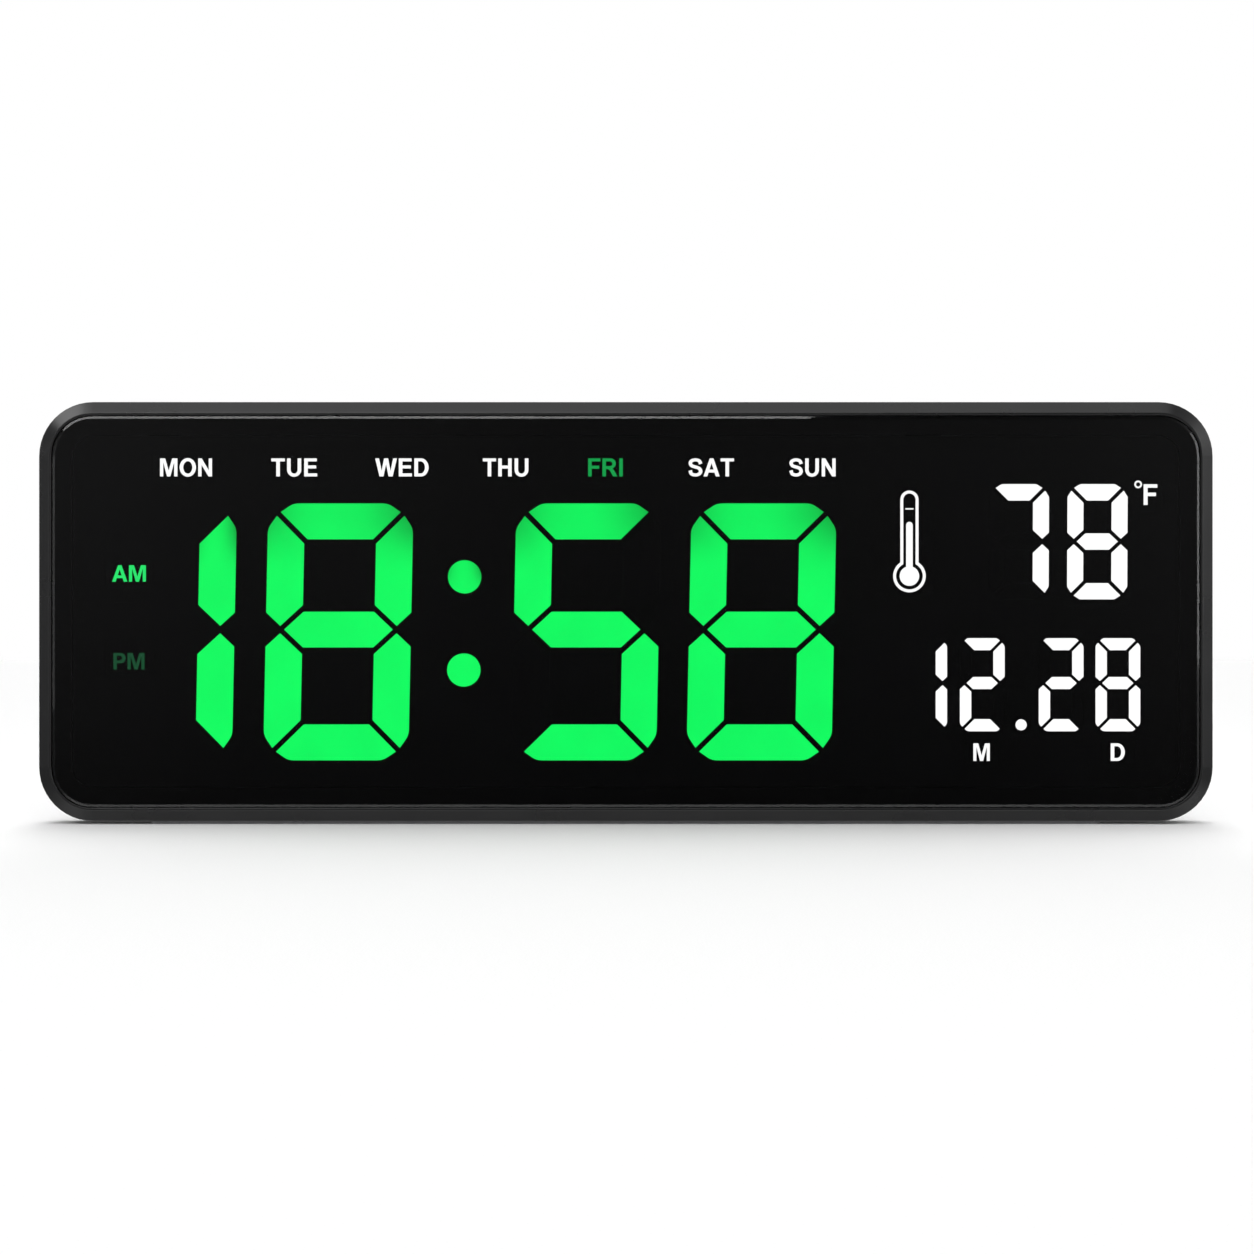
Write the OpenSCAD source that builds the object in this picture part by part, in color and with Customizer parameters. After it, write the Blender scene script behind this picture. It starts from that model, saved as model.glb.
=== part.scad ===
// A wide desk and wall clock with a lit bar-digit display, built as separate parts.
// Lengths are in millimetres. X runs to the right seen from the front, Y to the back and Z up.
// The origin is the middle of the base strip's underside, on the surface that the clock stands on.

/* [Case] */
// Width of the case
case_w = 420; // [412:1:480]
// Height of the case without the base strip
case_h = 150; // [146:1:190]
// Depth of the case from the front lip to the rear face
case_d = 28; // [27.5:0.5:40]
// Corner radius of the case seen from the front
corner_r = 19.4; // [17:0.1:30]
// Thickness of the side walls
wall_t = 2.6; // [2.4:0.1:3.2]
// Width of the sloped bezel face
bezel_w = 4.1; // [2:0.1:4.2]
// Depth of the sloped bezel face
bezel_d = 3.4; // [2:0.1:4]
// Width of the whole border around the lens
border_w = 4.9; // [4.7:0.1:5.5]
// Thickness of the rear cover
cover_t = 2.5; // [2.3:0.1:3.2]
// Height that the base strip stands proud of the case
strip_proud = 1; // [0.5:0.1:2]
// Distance of the base strip's ends from the sides of the case
strip_end = 40; // [25:1:100]

/* [Lens] */
// Thickness of the lens
lens_t = 2.5; // [1.5:0.1:3]
// Depth of the lens face behind the front lip
lens_in = 0; // [0:0.1:1]
// Gap between the lens edge and the frame
lens_gap = 0.35; // [0.2:0.05:0.6]
// Width of the bevel around the lens face
lens_bevel_w = 0.95; // [0.4:0.05:1.5]
// Depth of the bevel around the lens face
lens_bevel_d = 0.45; // [0.2:0.05:0.8]

/* [Display] */
// Hours and minutes that are lit
time_shown = "1858"; // 4
// Temperature that is lit
temperature_shown = "78"; // 2
// Month and day that are lit
date_shown = "1228"; // 4
// Width of a time digit before the layout stretches
time_w = 51.8; // [46:0.1:54]
// Height of a time digit before the layout stretches
time_h = 91.9; // [84:0.1:94]
// Bar width of a time digit
time_bar = 12.8; // [10:0.1:14]
// Lean of the time digits, in degrees
time_lean = 1.15; // [0:0.05:2]
// Width of a temperature digit before the layout stretches
temperature_w = 21.4; // [18:0.1:22]
// Height of a temperature digit before the layout stretches
temperature_h = 41.2; // [36:0.1:43]
// Bar width of a temperature digit
temperature_bar = 5.8; // [5:0.1:6.5]
// Width of a date digit before the layout stretches
date_w = 15.9; // [14:0.1:17]
// Height of a date digit before the layout stretches
date_h = 33.3; // [30:0.1:35]
// Bar width of a date digit
date_bar = 4.3; // [4:0.1:4.8]
// Thickness of the diffuser bars
bar_t = 2.4; // [1.5:0.1:4]
// Thickness of the light mask
mask_t = 8; // [6.5:0.1:8.4]

/* [Stand] */
// Width of the stand leg
leg_w = 110; // [80:1:150]
// Length of the stand leg from its hinge axis
leg_l = 66; // [56:1:78]
// Height of the hinge axis above the standing surface
hinge_z = 14; // [13:0.5:17]
// Diameter of the hinge pin
pin_d = 3; // [2.5:0.1:3.4]

/* [Rear] */
// Distance between the two wall keyholes
hang_pitch = 220; // [190:1:250]
// Diameter of the keyhole's entry hole
hang_d = 9; // [8:0.1:10]
// Diameter of a push button
button_d = 6; // [5:0.1:7.5]
// Distance between push buttons
button_pitch = 13; // [12:0.5:13.5]
// Height that a push button stands proud of the rear cover
button_proud = 1.2; // [0.6:0.1:2]
// Diameter of the memory cell
cell_d = 20; // [16:0.5:20]
// Thickness of the memory cell
cell_t = 3.2; // [2:0.1:3.2]

/* [Hidden] */
$fn = 64;

// Small amounts that several parts share
slit = 0.1;
play = 0.3;
through = 1;
run_gap = 0.05;

// Depths behind the front lip
tape_t = 0.2;
lens_back = lens_in + lens_t;
ledge_d = lens_back + tape_t;
flange_t = 2.2;
flange_back = ledge_d + flange_t;
mask_front = ledge_d + slit;
mask_back = mask_front + mask_t;
board_t = 1.6;
board_back = mask_back + board_t;
cover_in = case_d - cover_t;

// Distances in from the outer side of the case
rim_t = wall_t - 0.7;
opening_b = 12;
mask_b = opening_b + 0.4;
board_b = wall_t + 0.8;
cover_b = rim_t + 0.25;
post_b = (wall_t + opening_b) / 2;

// Screw posts on the frame
short_post_r = 3;
tall_post_r = 3.3;
short_post_in = [26, 148];
tall_post_in = 80;
short_post_x = [for (d = short_post_in) case_w / 2 - d];
tall_post_x = case_w / 2 - tall_post_in;
small_screw_r = 1.15;
small_head_r = 2.5;
small_head_t = 1.8;
small_screw_l = 6;
cover_screw_r = 1.4;
cover_head_r = 2.9;
cover_head_t = 1.5;
cover_screw_l = 11;
drive_w = 0.7;
post_edge = case_h / 2 - post_b;
short_posts = [for (x = short_post_x, i = [-1, 1], j = [-1, 1]) [i * x, j * post_edge]];
tall_posts = concat(
    [for (i = [-1, 1], j = [-1, 1]) [i * tall_post_x, j * post_edge]],
    [for (i = [-1, 1]) [i * (case_w / 2 - post_b), 0]]
);

// Places on the layout, from the middle of the panel
time_at = [[-192.8, -53.2], [-129.7, -53.2], [-41, -53.2], [21.7, -53.2]];
temperature_at = [[129.75, 4.4], [157.85, 4.4]];
date_at = [[98.95, -42.8], [119.55, -42.8], [147.75, -42.8], [168.05, -42.8]];
colon_at = [[-57.7, 12.45], [-58, -20.9]];
colon_r = 5.93;
point_at = [141.4, -40.5];
point_r = 1.95;
all_bars = "abcdefg";
half_digit = "bc";

// Legend films: middle, then width and height
weekday_x = [-157.3, -118.4, -79.9, -43, -7, 30.7, 66.9];
weekday_z = 51.5;
weekday_film = [24, 10.4];
indicator_films_on_layout = [
    [-177.5, 13.5, 17, 10], [-177.5, -17.9, 17, 10], [186.4, 42.4, 10.6, 12],
    [127.2, -50.3, 12, 9.4], [176.2, -50.3, 12, 9.4], [101.6, 25, 17, 42]
];
film_t = 0.3;
film_edge = 1.4;

// The layout stretches to leave this margin between its outermost films and the sides of the case
film_margin = 18.3;
degree_film = indicator_films_on_layout[2];
across = (case_w / 2 - film_margin) / (degree_film[0] + degree_film[2] / 2);
upward = (case_h / 2 - film_margin) / (weekday_z + weekday_film[1] / 2);
both = min(across, upward);

function placed(p) = [p[0] * across, p[1] * upward];

weekday_films_at = [for (x = weekday_x) concat(placed([x, weekday_z]), placed(weekday_film))];
indicator_films_at = [
    for (f = indicator_films_on_layout) concat(placed([f[0], f[1]]), placed([f[2], f[3]]))
];

// Outline sizes: width, height, level bar, corner, gap, notch, waist height, lean,
// slope and rounding of the corner, upright bar
function digit_sizes(w, h, bar, corner, gap, notch, waist, slant, rise, turn, upright) = [
    w * across, h * upward, bar * both, bar * corner * both, gap * both,
    bar * notch * both, h * waist * upward, slant, rise, bar * turn * both, bar * upright * both
];

cut_angle = 43;
time_gap = 2;
temperature_gap = 1.5;
date_gap = 1.2;
time_digit = digit_sizes(
    time_w, time_h, time_bar, 0.7, time_gap, 0.396, 0.509, tan(time_lean), 0.41, 0.488, 1.016
);
temperature_digit = digit_sizes(
    temperature_w, temperature_h, temperature_bar, 0.783, temperature_gap, 0.397, 0.502, 0.005, 0.39, 0.244,
    0.97
);
date_digit = digit_sizes(date_w, date_h, date_bar, 0.62, date_gap, 0.36, 0.518, 0, 0.49, 0.4, 0.92);

// Screws that hold the mask to the board, between the digits and the legends
mask_screw_x = [-135, -20, 86];
time_foot = placed(time_at[0])[1];
mask_screw_top = (time_foot + time_digit[1] + weekday_films_at[0][1] - weekday_films_at[0][3] / 2) / 2;
mask_screw_low = (time_foot - case_h / 2 + mask_b) / 2;
mask_screw_at = [for (x = mask_screw_x, z = [mask_screw_low, mask_screw_top]) [x * across, z]];

// LED packages
led_w = 3.5;
led_h = 2.8;
led_t = 0.8;
led_dish_r = 1.1;
led_dish_d = 0.2;

// Stand: the leg slopes down from its hinge to the standing surface
leg_under = 2.9;
leg_over = 1.8;
leg_barrel_r = 3.4;
leg_tip_z = 1.2;
leg_corner_r = 10;
leg_rib_t = 2.6;
leg_rim = 4;
leg_web_t = 2.2;
leg_slope = asin((hinge_z - leg_under - leg_tip_z) / leg_l);
hinge_in = 6.2;
hinge_y = case_d / 2 - hinge_in;
pad_l = 9;
pad_inset = 0.8;
pad_from_tip = 3;
pad_from_side = 8;
recess_side = 0.6;
recess_x = leg_w / 2 + recess_side;
recess_wall = 2.4;
recess_floor = 1.8;
pin_l = 2 * (recess_x + recess_wall);
recess_d = hinge_in + leg_barrel_r + 0.4;
recess_low = hinge_z - hinge_in * tan(leg_slope) - leg_under / cos(leg_slope) - play;
recess_top = hinge_z + leg_l + 1;
scoop_r = 12;
scoop_d = 6;

// Rear fittings, from the middle of the panel
hang_from_top = 42;
hang_z = case_h / 2 - hang_from_top;
hang_slot_w = 4.6;
hang_rise = 9;
button_from_top = 36;
button_z = case_h / 2 - button_from_top;
fittings_in = 60;
fittings_x = case_w / 2 - fittings_in;
button_first_x = -fittings_x;
button_at = [for (i = [0:3]) [button_first_x - i * button_pitch, button_z]];
button_flange = 1.2;
button_flange_t = 1;
button_stem_r = 1.5;
button_mark_d = 0.3;
switch_w = 6;
switch_t = 3.5;
plunger_r = 1.75;
plunger_up = 1.2;
plunger_in = 1;
plunger_well = 2.2;
plunger_top = board_back + switch_t + plunger_up;
vent_pitch = 6;
vent_count = 8;
vent_in = 64;
vent_x = case_w / 2 - vent_in;
vent_w = 2.4;
vent_h = 18;
sensor_at = [vent_x + 3.5 * vent_pitch, button_z];
sensor_r = 1.5;
sensor_lead_r = 0.3;
sensor_lead_x = 0.8;

// Power inlet
jack_from_foot = 30;
jack_at = [-fittings_x, jack_from_foot - case_h / 2];
jack_base_w = 9;
jack_base_t = 6;
jack_r = 4;
jack_bore_r = 3;
jack_depth = 9;
jack_sunk = 0.4;
jack_pin_r = 1;
jack_root_r = 0.8;
jack_root_l = 3;
jack_mouth = case_d - jack_sunk;

// Memory cell and its door
cell_z = -12;
cell_at = [fittings_x, cell_z];
cell_r = cell_d / 2;
holder_w = cell_d + 6;
holder_floor = 1;
contact_t = 0.3;
contact_r = 5;
cell_low = board_back + holder_floor + contact_t;
cell_top = cell_low + cell_t;
holder_top = cell_top + 0.5;
clip_w = 5;
door_r = cell_r + 3;
door_t = 1.6;
door_hub_r = door_r - 2.4;
door_lug = 1.9;
door_lug_angle = 30;
door_lug_t = 1.2;
door_turn = 60;
door_seat = case_d - door_t - slit;
door_ring_t = 1.8;
door_ring_low = door_seat - door_ring_t;
door_lug_top = door_ring_low - play;
door_lug_low = door_lug_top - door_lug_t;
door_ring_r = door_r + 3;
coin_slot_w = 1.8;
coin_slot_l = 13;
coin_slot_d = 0.9;

// Parts on the back of the board
controller_from_cell = [-50, -32];
controller_at = cell_at + controller_from_cell;
controller_w = 9;
controller_t = 1;
driver_at = [[-100, 8], [76, 8]];
driver_w = 7;
driver_h = 12;
driver_t = 1.2;
crystal_from_cell = [-36, -32];
crystal_at = cell_at + crystal_from_cell;
crystal_l = 6.5;
crystal_r = 2.3;
crystal_t = 3.5;
capacitor_from_jack = [16, 0];
capacitor_at = jack_at + capacitor_from_jack;
capacitor_r = 4;
capacitor_t = 11;

z_mid = strip_proud + case_h / 2;
strip_l = case_w - 2 * strip_end;
strip_w = 18;
strip_in = 1.2;

case_black = [0.06, 0.06, 0.065];
part_black = [0.09, 0.09, 0.095];
rubber_black = [0.12, 0.12, 0.12];
steel = [0.72, 0.73, 0.75];
brass = [0.82, 0.68, 0.36];
lit_green = [0.1, 0.95, 0.38];
lit_white = [0.97, 0.97, 0.95];
milk = [0.16, 0.17, 0.17];
film_black = [0.04, 0.04, 0.045];

function y_at(d) = d - case_d / 2;

function unit(v) = v / norm(v);

function arc_points(c, r, a, b, n = 8) = [
    for (i = [0:n])
        let (t = a + (b - a) * i / n)
        c + r * [cos(t), sin(t)]
];

// Points of a corner at b between a and c, rounded with radius r
function rounded(a, b, c, r, n = 5) =
    let (
        u = unit(a - b),
        w = unit(c - b),
        half = acos(u * w) / 2,
        m = b + unit(u + w) * r / sin(half),
        p = b + u * r / tan(half) - m,
        q = b + w * r / tan(half) - m,
        t = atan2(p[1], p[0]),
        turn = atan2(p[0] * q[1] - p[1] * q[0], p * q)
    )
    arc_points(m, r, t, t + turn, n);

function backwards(points) = [for (i = [len(points) - 1:-1:0]) points[i]];

function flip_x(points, w) = backwards([for (p = points) [w - p[0], p[1]]]);

function flip_z(points, h) = backwards([for (p = points) [p[0], h - p[1]]]);

function lean(points, k) = [for (p = points) [p[0] + k * p[1], p[1]]];

// Sloped corner of a bar grown by g, from the cut end to the straight edge:
// first the distance along the edge from the digit's corner, then the distance in from it
function bar_corner(s, g) =
    let (
        slope = atan2(s[8], 1 - s[8]),
        e = (s[4] / 2 - g) * sqrt(2),
        along = (s[3] * sin(slope) + e * cos(slope) - g) / (sin(slope) + cos(slope)),
        cut = [along, along - e],
        bend = [s[3] - g * tan(slope / 2), -g]
    )
    concat([cut], backwards(rounded([s[0] / 2, -g], bend, cut, s[9] + g)));

// Outline of the top bar of a digit, grown all round by g
function top_bar(s, g) =
    let (
        e = (s[4] / 2 - g) * sqrt(2),
        corner = [for (p = bar_corner(s, g)) [p[0], s[1] - p[1]]],
        edge = s[2] + g
    )
    backwards(concat(
        [[edge + e, s[1] - edge]],
        corner,
        backwards([for (p = corner) [s[0] - p[0], p[1]]]),
        [[s[0] - edge - e, s[1] - edge]]
    ));

// Outline of an upright bar on the left, from the waist height m up to the top h
function side_bar(s, g, h, m) =
    let (
        e = (s[4] / 2 - g) * sqrt(2),
        k = tan(cut_angle),
        v = m + (s[4] / 2 - g) / cos(cut_angle),
        edge = s[10] + g
    )
    concat(
        [for (p = bar_corner(s, g)) [p[1], h - p[0]]],
        [
            [-g, v + k * (s[5] + g)],
            [s[5], v],
            [edge, v + k * (edge - s[5])],
            [edge, h - edge - e]
        ]
    );

// Outline of the middle bar
function middle_bar(s, g) =
    let (
        x = s[5] + (s[4] / 2 - g) / sin(cut_angle),
        half = s[2] / 2 + g,
        run = half / tan(cut_angle)
    )
    [
        [x, s[6]],
        [x + run, s[6] - half],
        [s[0] - x - run, s[6] - half],
        [s[0] - x, s[6]],
        [s[0] - x - run, s[6] + half],
        [x + run, s[6] + half]
    ];

function bar_points(s, bar, g) =
    bar == "a" ? top_bar(s, g) :
    bar == "b" ? flip_x(side_bar(s, g, s[1], s[6]), s[0]) :
    bar == "c" ? flip_x(flip_z(side_bar(s, g, s[1], s[1] - s[6]), s[1]), s[0]) :
    bar == "d" ? flip_z(top_bar(s, g), s[1]) :
    bar == "e" ? flip_z(side_bar(s, g, s[1], s[1] - s[6]), s[1]) :
    bar == "f" ? side_bar(s, g, s[1], s[6]) :
    middle_bar(s, g);

// Middle of a bar, and the direction it runs in
function bar_middle(s, bar) =
    let (
        level = s[2] / 2,
        left = s[10] / 2,
        right = s[0] - left,
        high = (s[1] - level + s[6]) / 2,
        low = (s[6] + level) / 2,
        p = bar == "a" ? [s[0] / 2, s[1] - level] :
            bar == "b" ? [right, high] :
            bar == "c" ? [right, low] :
            bar == "d" ? [s[0] / 2, level] :
            bar == "e" ? [left, low] :
            bar == "f" ? [left, high] :
            [s[0] / 2, s[6]]
    )
    [p[0] + s[7] * p[1], p[1]];

function runs_across(bar) = len(search(bar, "adg")) > 0;

function lit_bars(c) =
    c == "0" ? "abcdef" :
    c == "1" ? "bc" :
    c == "2" ? "abged" :
    c == "3" ? "abgcd" :
    c == "4" ? "fgbc" :
    c == "5" ? "afgcd" :
    c == "6" ? "afgedc" :
    c == "7" ? "abc" :
    c == "8" ? "abcdefg" :
    c == "9" ? "abcdfg" :
    "";

function has(bars, bar) = len(search(bar, bars)) > 0;

// Digit places: outline sizes, place, bars that it has and the figure that it shows
digits = [
    [time_digit, placed(time_at[0]), half_digit, time_shown[0]],
    [time_digit, placed(time_at[1]), all_bars, time_shown[1]],
    [time_digit, placed(time_at[2]), all_bars, time_shown[2]],
    [time_digit, placed(time_at[3]), all_bars, time_shown[3]],
    [temperature_digit, placed(temperature_at[0]), all_bars, temperature_shown[0]],
    [temperature_digit, placed(temperature_at[1]), all_bars, temperature_shown[1]],
    [date_digit, placed(date_at[0]), half_digit, date_shown[0]],
    [date_digit, placed(date_at[1]), all_bars, date_shown[1]],
    [date_digit, placed(date_at[2]), all_bars, date_shown[2]],
    [date_digit, placed(date_at[3]), all_bars, date_shown[3]]
];
time_digits = 4;

// A flat shape drawn in X and Z about the panel's middle, from depth a to depth b
module slab(a, b) {
    translate([0, y_at(b), z_mid])
        rotate([90, 0, 0])
            linear_extrude(b - a)
                children();
}

module rod(at, r, a, b) {
    translate([at[0], y_at(b), z_mid + at[1]])
        rotate([90, 0, 0])
            cylinder(r = r, h = b - a);
}

module block(at, w, h, a, b) {
    translate([at[0] - w / 2, y_at(a), z_mid + at[1] - h / 2])
        cube([w, b - a, h]);
}

// A turned shape about a line in Y: points are radius and depth
module turned(at, points) {
    translate([at[0], y_at(0), z_mid + at[1]])
        rotate([-90, 0, 0])
            rotate_extrude()
                polygon(points);
}

module round_rect(w, h, r) {
    square([w - 2 * r, h], center = true);
    square([w, h - 2 * r], center = true);
    for (i = [-1, 1], j = [-1, 1])
        translate([i * (w / 2 - r), j * (h / 2 - r)])
            circle(r);
}

// A section carried round a rounded rectangle: points are distance in from its outside and depth
module swept_ring(w, h, r, points) {
    corner = [for (p = points) [r - p[0], p[1]]];
    translate([0, y_at(0), z_mid])
        for (i = [0:3])
            rotate([0, i * 90, 0]) {
                along = (i % 2 == 0 ? w : h) / 2 - r;
                out = (i % 2 == 0 ? h : w) / 2;
                translate([-along, 0, out])
                    rotate([0, 90, 0])
                        linear_extrude(2 * along)
                            polygon(points);
                translate([along, 0, r - out])
                    rotate([-90, 0, 0])
                        rotate_extrude(angle = 90)
                            polygon(corner);
            }
}

module bars(digit, chosen, g = 0) {
    for (i = [0:len(chosen) - 1])
        translate(digit[1])
            polygon(lean(bar_points(digit[0], chosen[i], g), digit[0][7]));
}

module lit(digit) {
    on = lit_bars(digit[3]);
    chosen = [for (i = [0:len(digit[2]) - 1]) if (has(on, digit[2][i])) digit[2][i]];
    slab(mask_front, mask_front + bar_t)
        bars(digit, chosen);
}

module screw(at, r, length, head_r, head_t, seat) {
    difference() {
        turned(at, [
            [0, seat - length],
            [r * 0.6, seat - length],
            [r, seat - length + r],
            [r, seat],
            [head_r, seat],
            [head_r, seat + head_t * 0.6],
            [head_r * 0.8, seat + head_t],
            [0, seat + head_t]
        ]);
        block(at, head_r * 1.1, drive_w, seat + head_t * 0.5, seat + head_t + through);
        block(at, drive_w, head_r * 1.1, seat + head_t * 0.5, seat + head_t + through);
    }
}

module led(at) {
    difference() {
        block(at, led_w, led_h, mask_back - led_t, mask_back);
        rod(at, led_dish_r, mask_back - led_t - through, mask_back - led_t + led_dish_d);
    }
}

module front_frame() {
    lip = [bezel_w, 0];
    section = concat(
        rounded(lip, [0, bezel_d], [0, case_d], 0.8),
        [[0, case_d - 0.8], [0.8, case_d], [rim_t, case_d], [rim_t, cover_in], [wall_t, cover_in]],
        [[wall_t, flange_back], [opening_b, flange_back], [opening_b, ledge_d], [border_w, ledge_d]],
        rounded([border_w, ledge_d], [border_w, 0], lip, 0.25),
        rounded([border_w, 0], lip, [0, bezel_d], 0.5)
    );
    color(case_black)
        difference() {
            union() {
                swept_ring(case_w, case_h, corner_r, backwards(section));
                for (at = short_posts)
                    rod(at, short_post_r, flange_back - flange_t / 2, mask_back);
                for (at = tall_posts)
                    rod(at, tall_post_r, flange_back - flange_t / 2, cover_in);
            }
            for (at = short_posts)
                rod(at, small_screw_r + run_gap, board_back - small_screw_l - play, mask_back + through);
            for (at = tall_posts)
                rod(at, cover_screw_r + run_gap, cover_in - cover_screw_l, cover_in + through);
            translate([0, 0, strip_proud])
                cube([strip_l + 2 * slit, strip_w + 2 * slit, 2 * strip_in], center = true);
        }
}

module front_lens() {
    edge = border_w + lens_gap;
    w = case_w - 2 * edge;
    h = case_h - 2 * edge;
    r = corner_r - edge;
    shoulder = [lens_bevel_w, lens_in];
    section = concat(
        [[0, lens_back], [0, lens_in + lens_bevel_d]],
        rounded([0, lens_in + lens_bevel_d], shoulder, [r, lens_in], 0.4),
        [[r, lens_in], [r, lens_back]]
    );
    color(film_black)
        union() {
            swept_ring(w, h, r, section);
            block([0, 0], w - 2 * r, h - 2 * r, lens_in, lens_back);
        }
}

module lens_tape() {
    low = border_w + lens_gap + 0.6;
    high = opening_b - run_gap;
    near = lens_back + run_gap;
    color(film_black)
        swept_ring(case_w, case_h, corner_r, [
            [low, near], [high, near], [high, ledge_d], [low, ledge_d]
        ]);
}

module display_mask() {
    films = concat(weekday_films_at, indicator_films_at);
    color(part_black)
        difference() {
            slab(mask_front, mask_back)
                difference() {
                    round_rect(case_w - 2 * mask_b, case_h - 2 * mask_b, corner_r - mask_b);
                    for (digit = digits)
                        bars(digit, digit[2], slit);
                    for (at = colon_at)
                        translate(placed(at))
                            circle(colon_r * both + slit);
                    translate(placed(point_at))
                        circle(point_r * both + slit);
                    for (f = films)
                        translate([f[0], f[1]])
                            square([f[2] - 2 * film_edge, f[3] - 2 * film_edge], center = true);
                }
            for (f = films)
                block(f, f[2] + 2 * slit, f[3] + 2 * slit, mask_front - through, mask_front + film_t);
            // The date point's well widens at the back, where its LED package stands
            block(
                placed(point_at), led_w + 2 * slit, led_h + 2 * slit, mask_back - led_t - slit,
                mask_back + through
            );
            for (at = mask_screw_at)
                rod(at, small_screw_r + run_gap, board_back - small_screw_l - play, mask_back + through);
        }
}

module hour_tens_bars() {
    color(lit_green)
        lit(digits[0]);
}

module hour_units_bars() {
    color(lit_green)
        lit(digits[1]);
}

module minute_tens_bars() {
    color(lit_green)
        lit(digits[2]);
}

module minute_units_bars() {
    color(lit_green)
        lit(digits[3]);
}

module temperature_tens_bars() {
    color(lit_white)
        lit(digits[4]);
}

module temperature_units_bars() {
    color(lit_white)
        lit(digits[5]);
}

module month_tens_bars() {
    color(lit_white)
        lit(digits[6]);
}

module month_units_bars() {
    color(lit_white)
        lit(digits[7]);
}

module day_tens_bars() {
    color(lit_white)
        lit(digits[8]);
}

module day_units_bars() {
    color(lit_white)
        lit(digits[9]);
}

module colon_dots() {
    color(lit_green)
        for (at = colon_at)
            rod(placed(at), colon_r * both, mask_front, mask_front + bar_t);
}

module date_point() {
    color(lit_white)
        rod(placed(point_at), point_r * both, mask_front, mask_front + bar_t);
}

module unlit_bars() {
    color(milk)
        slab(mask_front, mask_front + bar_t)
            for (digit = digits) {
                on = lit_bars(digit[3]);
                bars(digit, [for (i = [0:len(digit[2]) - 1]) if (!has(on, digit[2][i])) digit[2][i]]);
            }
}

module weekday_films() {
    color(film_black)
        for (f = weekday_films_at)
            block(f, f[2], f[3], mask_front, mask_front + film_t);
}

module indicator_films() {
    color(film_black)
        for (f = indicator_films_at)
            block(f, f[2], f[3], mask_front, mask_front + film_t);
}

module green_leds() {
    color(lit_white) {
        for (n = [0:time_digits - 1]) {
            digit = digits[n];
            for (i = [0:len(digit[2]) - 1], j = [-1:1]) {
                bar = digit[2][i];
                step = runs_across(bar) ? [digit[0][0] / 4, 0] : [0, digit[0][1] / 8];
                led(digit[1] + bar_middle(digit[0], bar) + j * step);
            }
        }
        for (at = colon_at)
            led(placed(at));
    }
}

module white_leds() {
    color(lit_white) {
        for (n = [time_digits:len(digits) - 1]) {
            digit = digits[n];
            for (i = [0:len(digit[2]) - 1])
                led(digit[1] + bar_middle(digit[0], digit[2][i]));
        }
        led(placed(point_at));
        for (f = concat(weekday_films_at, indicator_films_at))
            led([f[0], f[1]]);
    }
}

module display_board() {
    w = case_w - 2 * board_b;
    h = case_h - 2 * board_b;
    color([0.05, 0.2, 0.12])
        slab(mask_back, board_back)
            difference() {
                round_rect(w, h, corner_r - board_b);
                for (at = concat(short_posts, mask_screw_at))
                    translate(at)
                        circle(small_screw_r + play);
                for (at = tall_posts)
                    translate(at) {
                        away = at[1] == 0 ? [sign(at[0]), 0] : [0, sign(at[1])];
                        notch = 2 * (tall_post_r + play);
                        circle(notch / 2);
                        translate(away * notch / 2)
                            square(notch, center = true);
                    }
            }
}

module mask_screws() {
    color(steel)
        for (at = mask_screw_at)
            screw(at, small_screw_r, small_screw_l, small_head_r, small_head_t, board_back);
}

module board_screws() {
    color(steel)
        for (at = short_posts)
            screw(at, small_screw_r, small_screw_l, small_head_r, small_head_t, board_back);
}

module chip(at, w, h, t) {
    difference() {
        block(at, w, h, board_back, board_back + t);
        rod(at + [1.2 - w / 2, h / 2 - 1.2], 0.5, board_back + t - slit, board_back + t + through);
    }
}

module controller_chip() {
    color(part_black)
        chip(controller_at, controller_w, controller_w, controller_t);
}

module driver_chips() {
    color(part_black)
        for (at = driver_at)
            chip(placed(at), driver_w, driver_h, driver_t);
}

module timing_crystal() {
    color(steel)
        slab(board_back, board_back + crystal_t)
            translate(crystal_at) {
                square([crystal_l, 2 * crystal_r], center = true);
                for (i = [-1, 1])
                    translate([i * crystal_l / 2, 0])
                        circle(crystal_r);
            }
}

module supply_capacitor() {
    r = capacitor_r;
    top = board_back + capacitor_t;
    color(part_black)
        turned(capacitor_at, [
            [0, board_back], [r, board_back], [r, board_back + 1.5], [r - 0.4, board_back + 1.9],
            [r, board_back + 2.3], [r, top - 0.4], [r - 0.4, top], [0, top]
        ]);
}

module temperature_sensor() {
    top = cover_in - sensor_r - 1;
    color(part_black)
        union() {
            translate([sensor_at[0], y_at(top), z_mid + sensor_at[1]])
                sphere(sensor_r);
            for (i = [-1, 1])
                rod(sensor_at + [i * sensor_lead_x, 0], sensor_lead_r, board_back, top);
        }
}

module power_jack() {
    floor_d = jack_mouth - jack_depth;
    color(part_black)
        difference() {
            union() {
                block(jack_at, jack_base_w, jack_base_w, board_back, board_back + jack_base_t);
                rod(jack_at, jack_r, board_back + jack_base_t - through, jack_mouth);
            }
            rod(jack_at, jack_bore_r, floor_d, jack_mouth + through);
            rod(jack_at, jack_root_r + run_gap, floor_d - jack_root_l, jack_mouth);
        }
}

module power_jack_pin() {
    floor_d = jack_mouth - jack_depth;
    tip = jack_mouth - through;
    color(brass)
        turned(jack_at, [
            [0, floor_d - jack_root_l], [jack_root_r, floor_d - jack_root_l], [jack_root_r, floor_d],
            [jack_pin_r, floor_d], [jack_pin_r, tip - 0.5], [jack_pin_r - 0.5, tip], [0, tip]
        ]);
}

module switch_bodies() {
    top = board_back + switch_t;
    color(part_black)
        for (at = button_at)
            difference() {
                block(at, switch_w, switch_w, board_back, top);
                rod(at, plunger_r + run_gap, top - plunger_well, top + through);
            }
}

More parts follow.
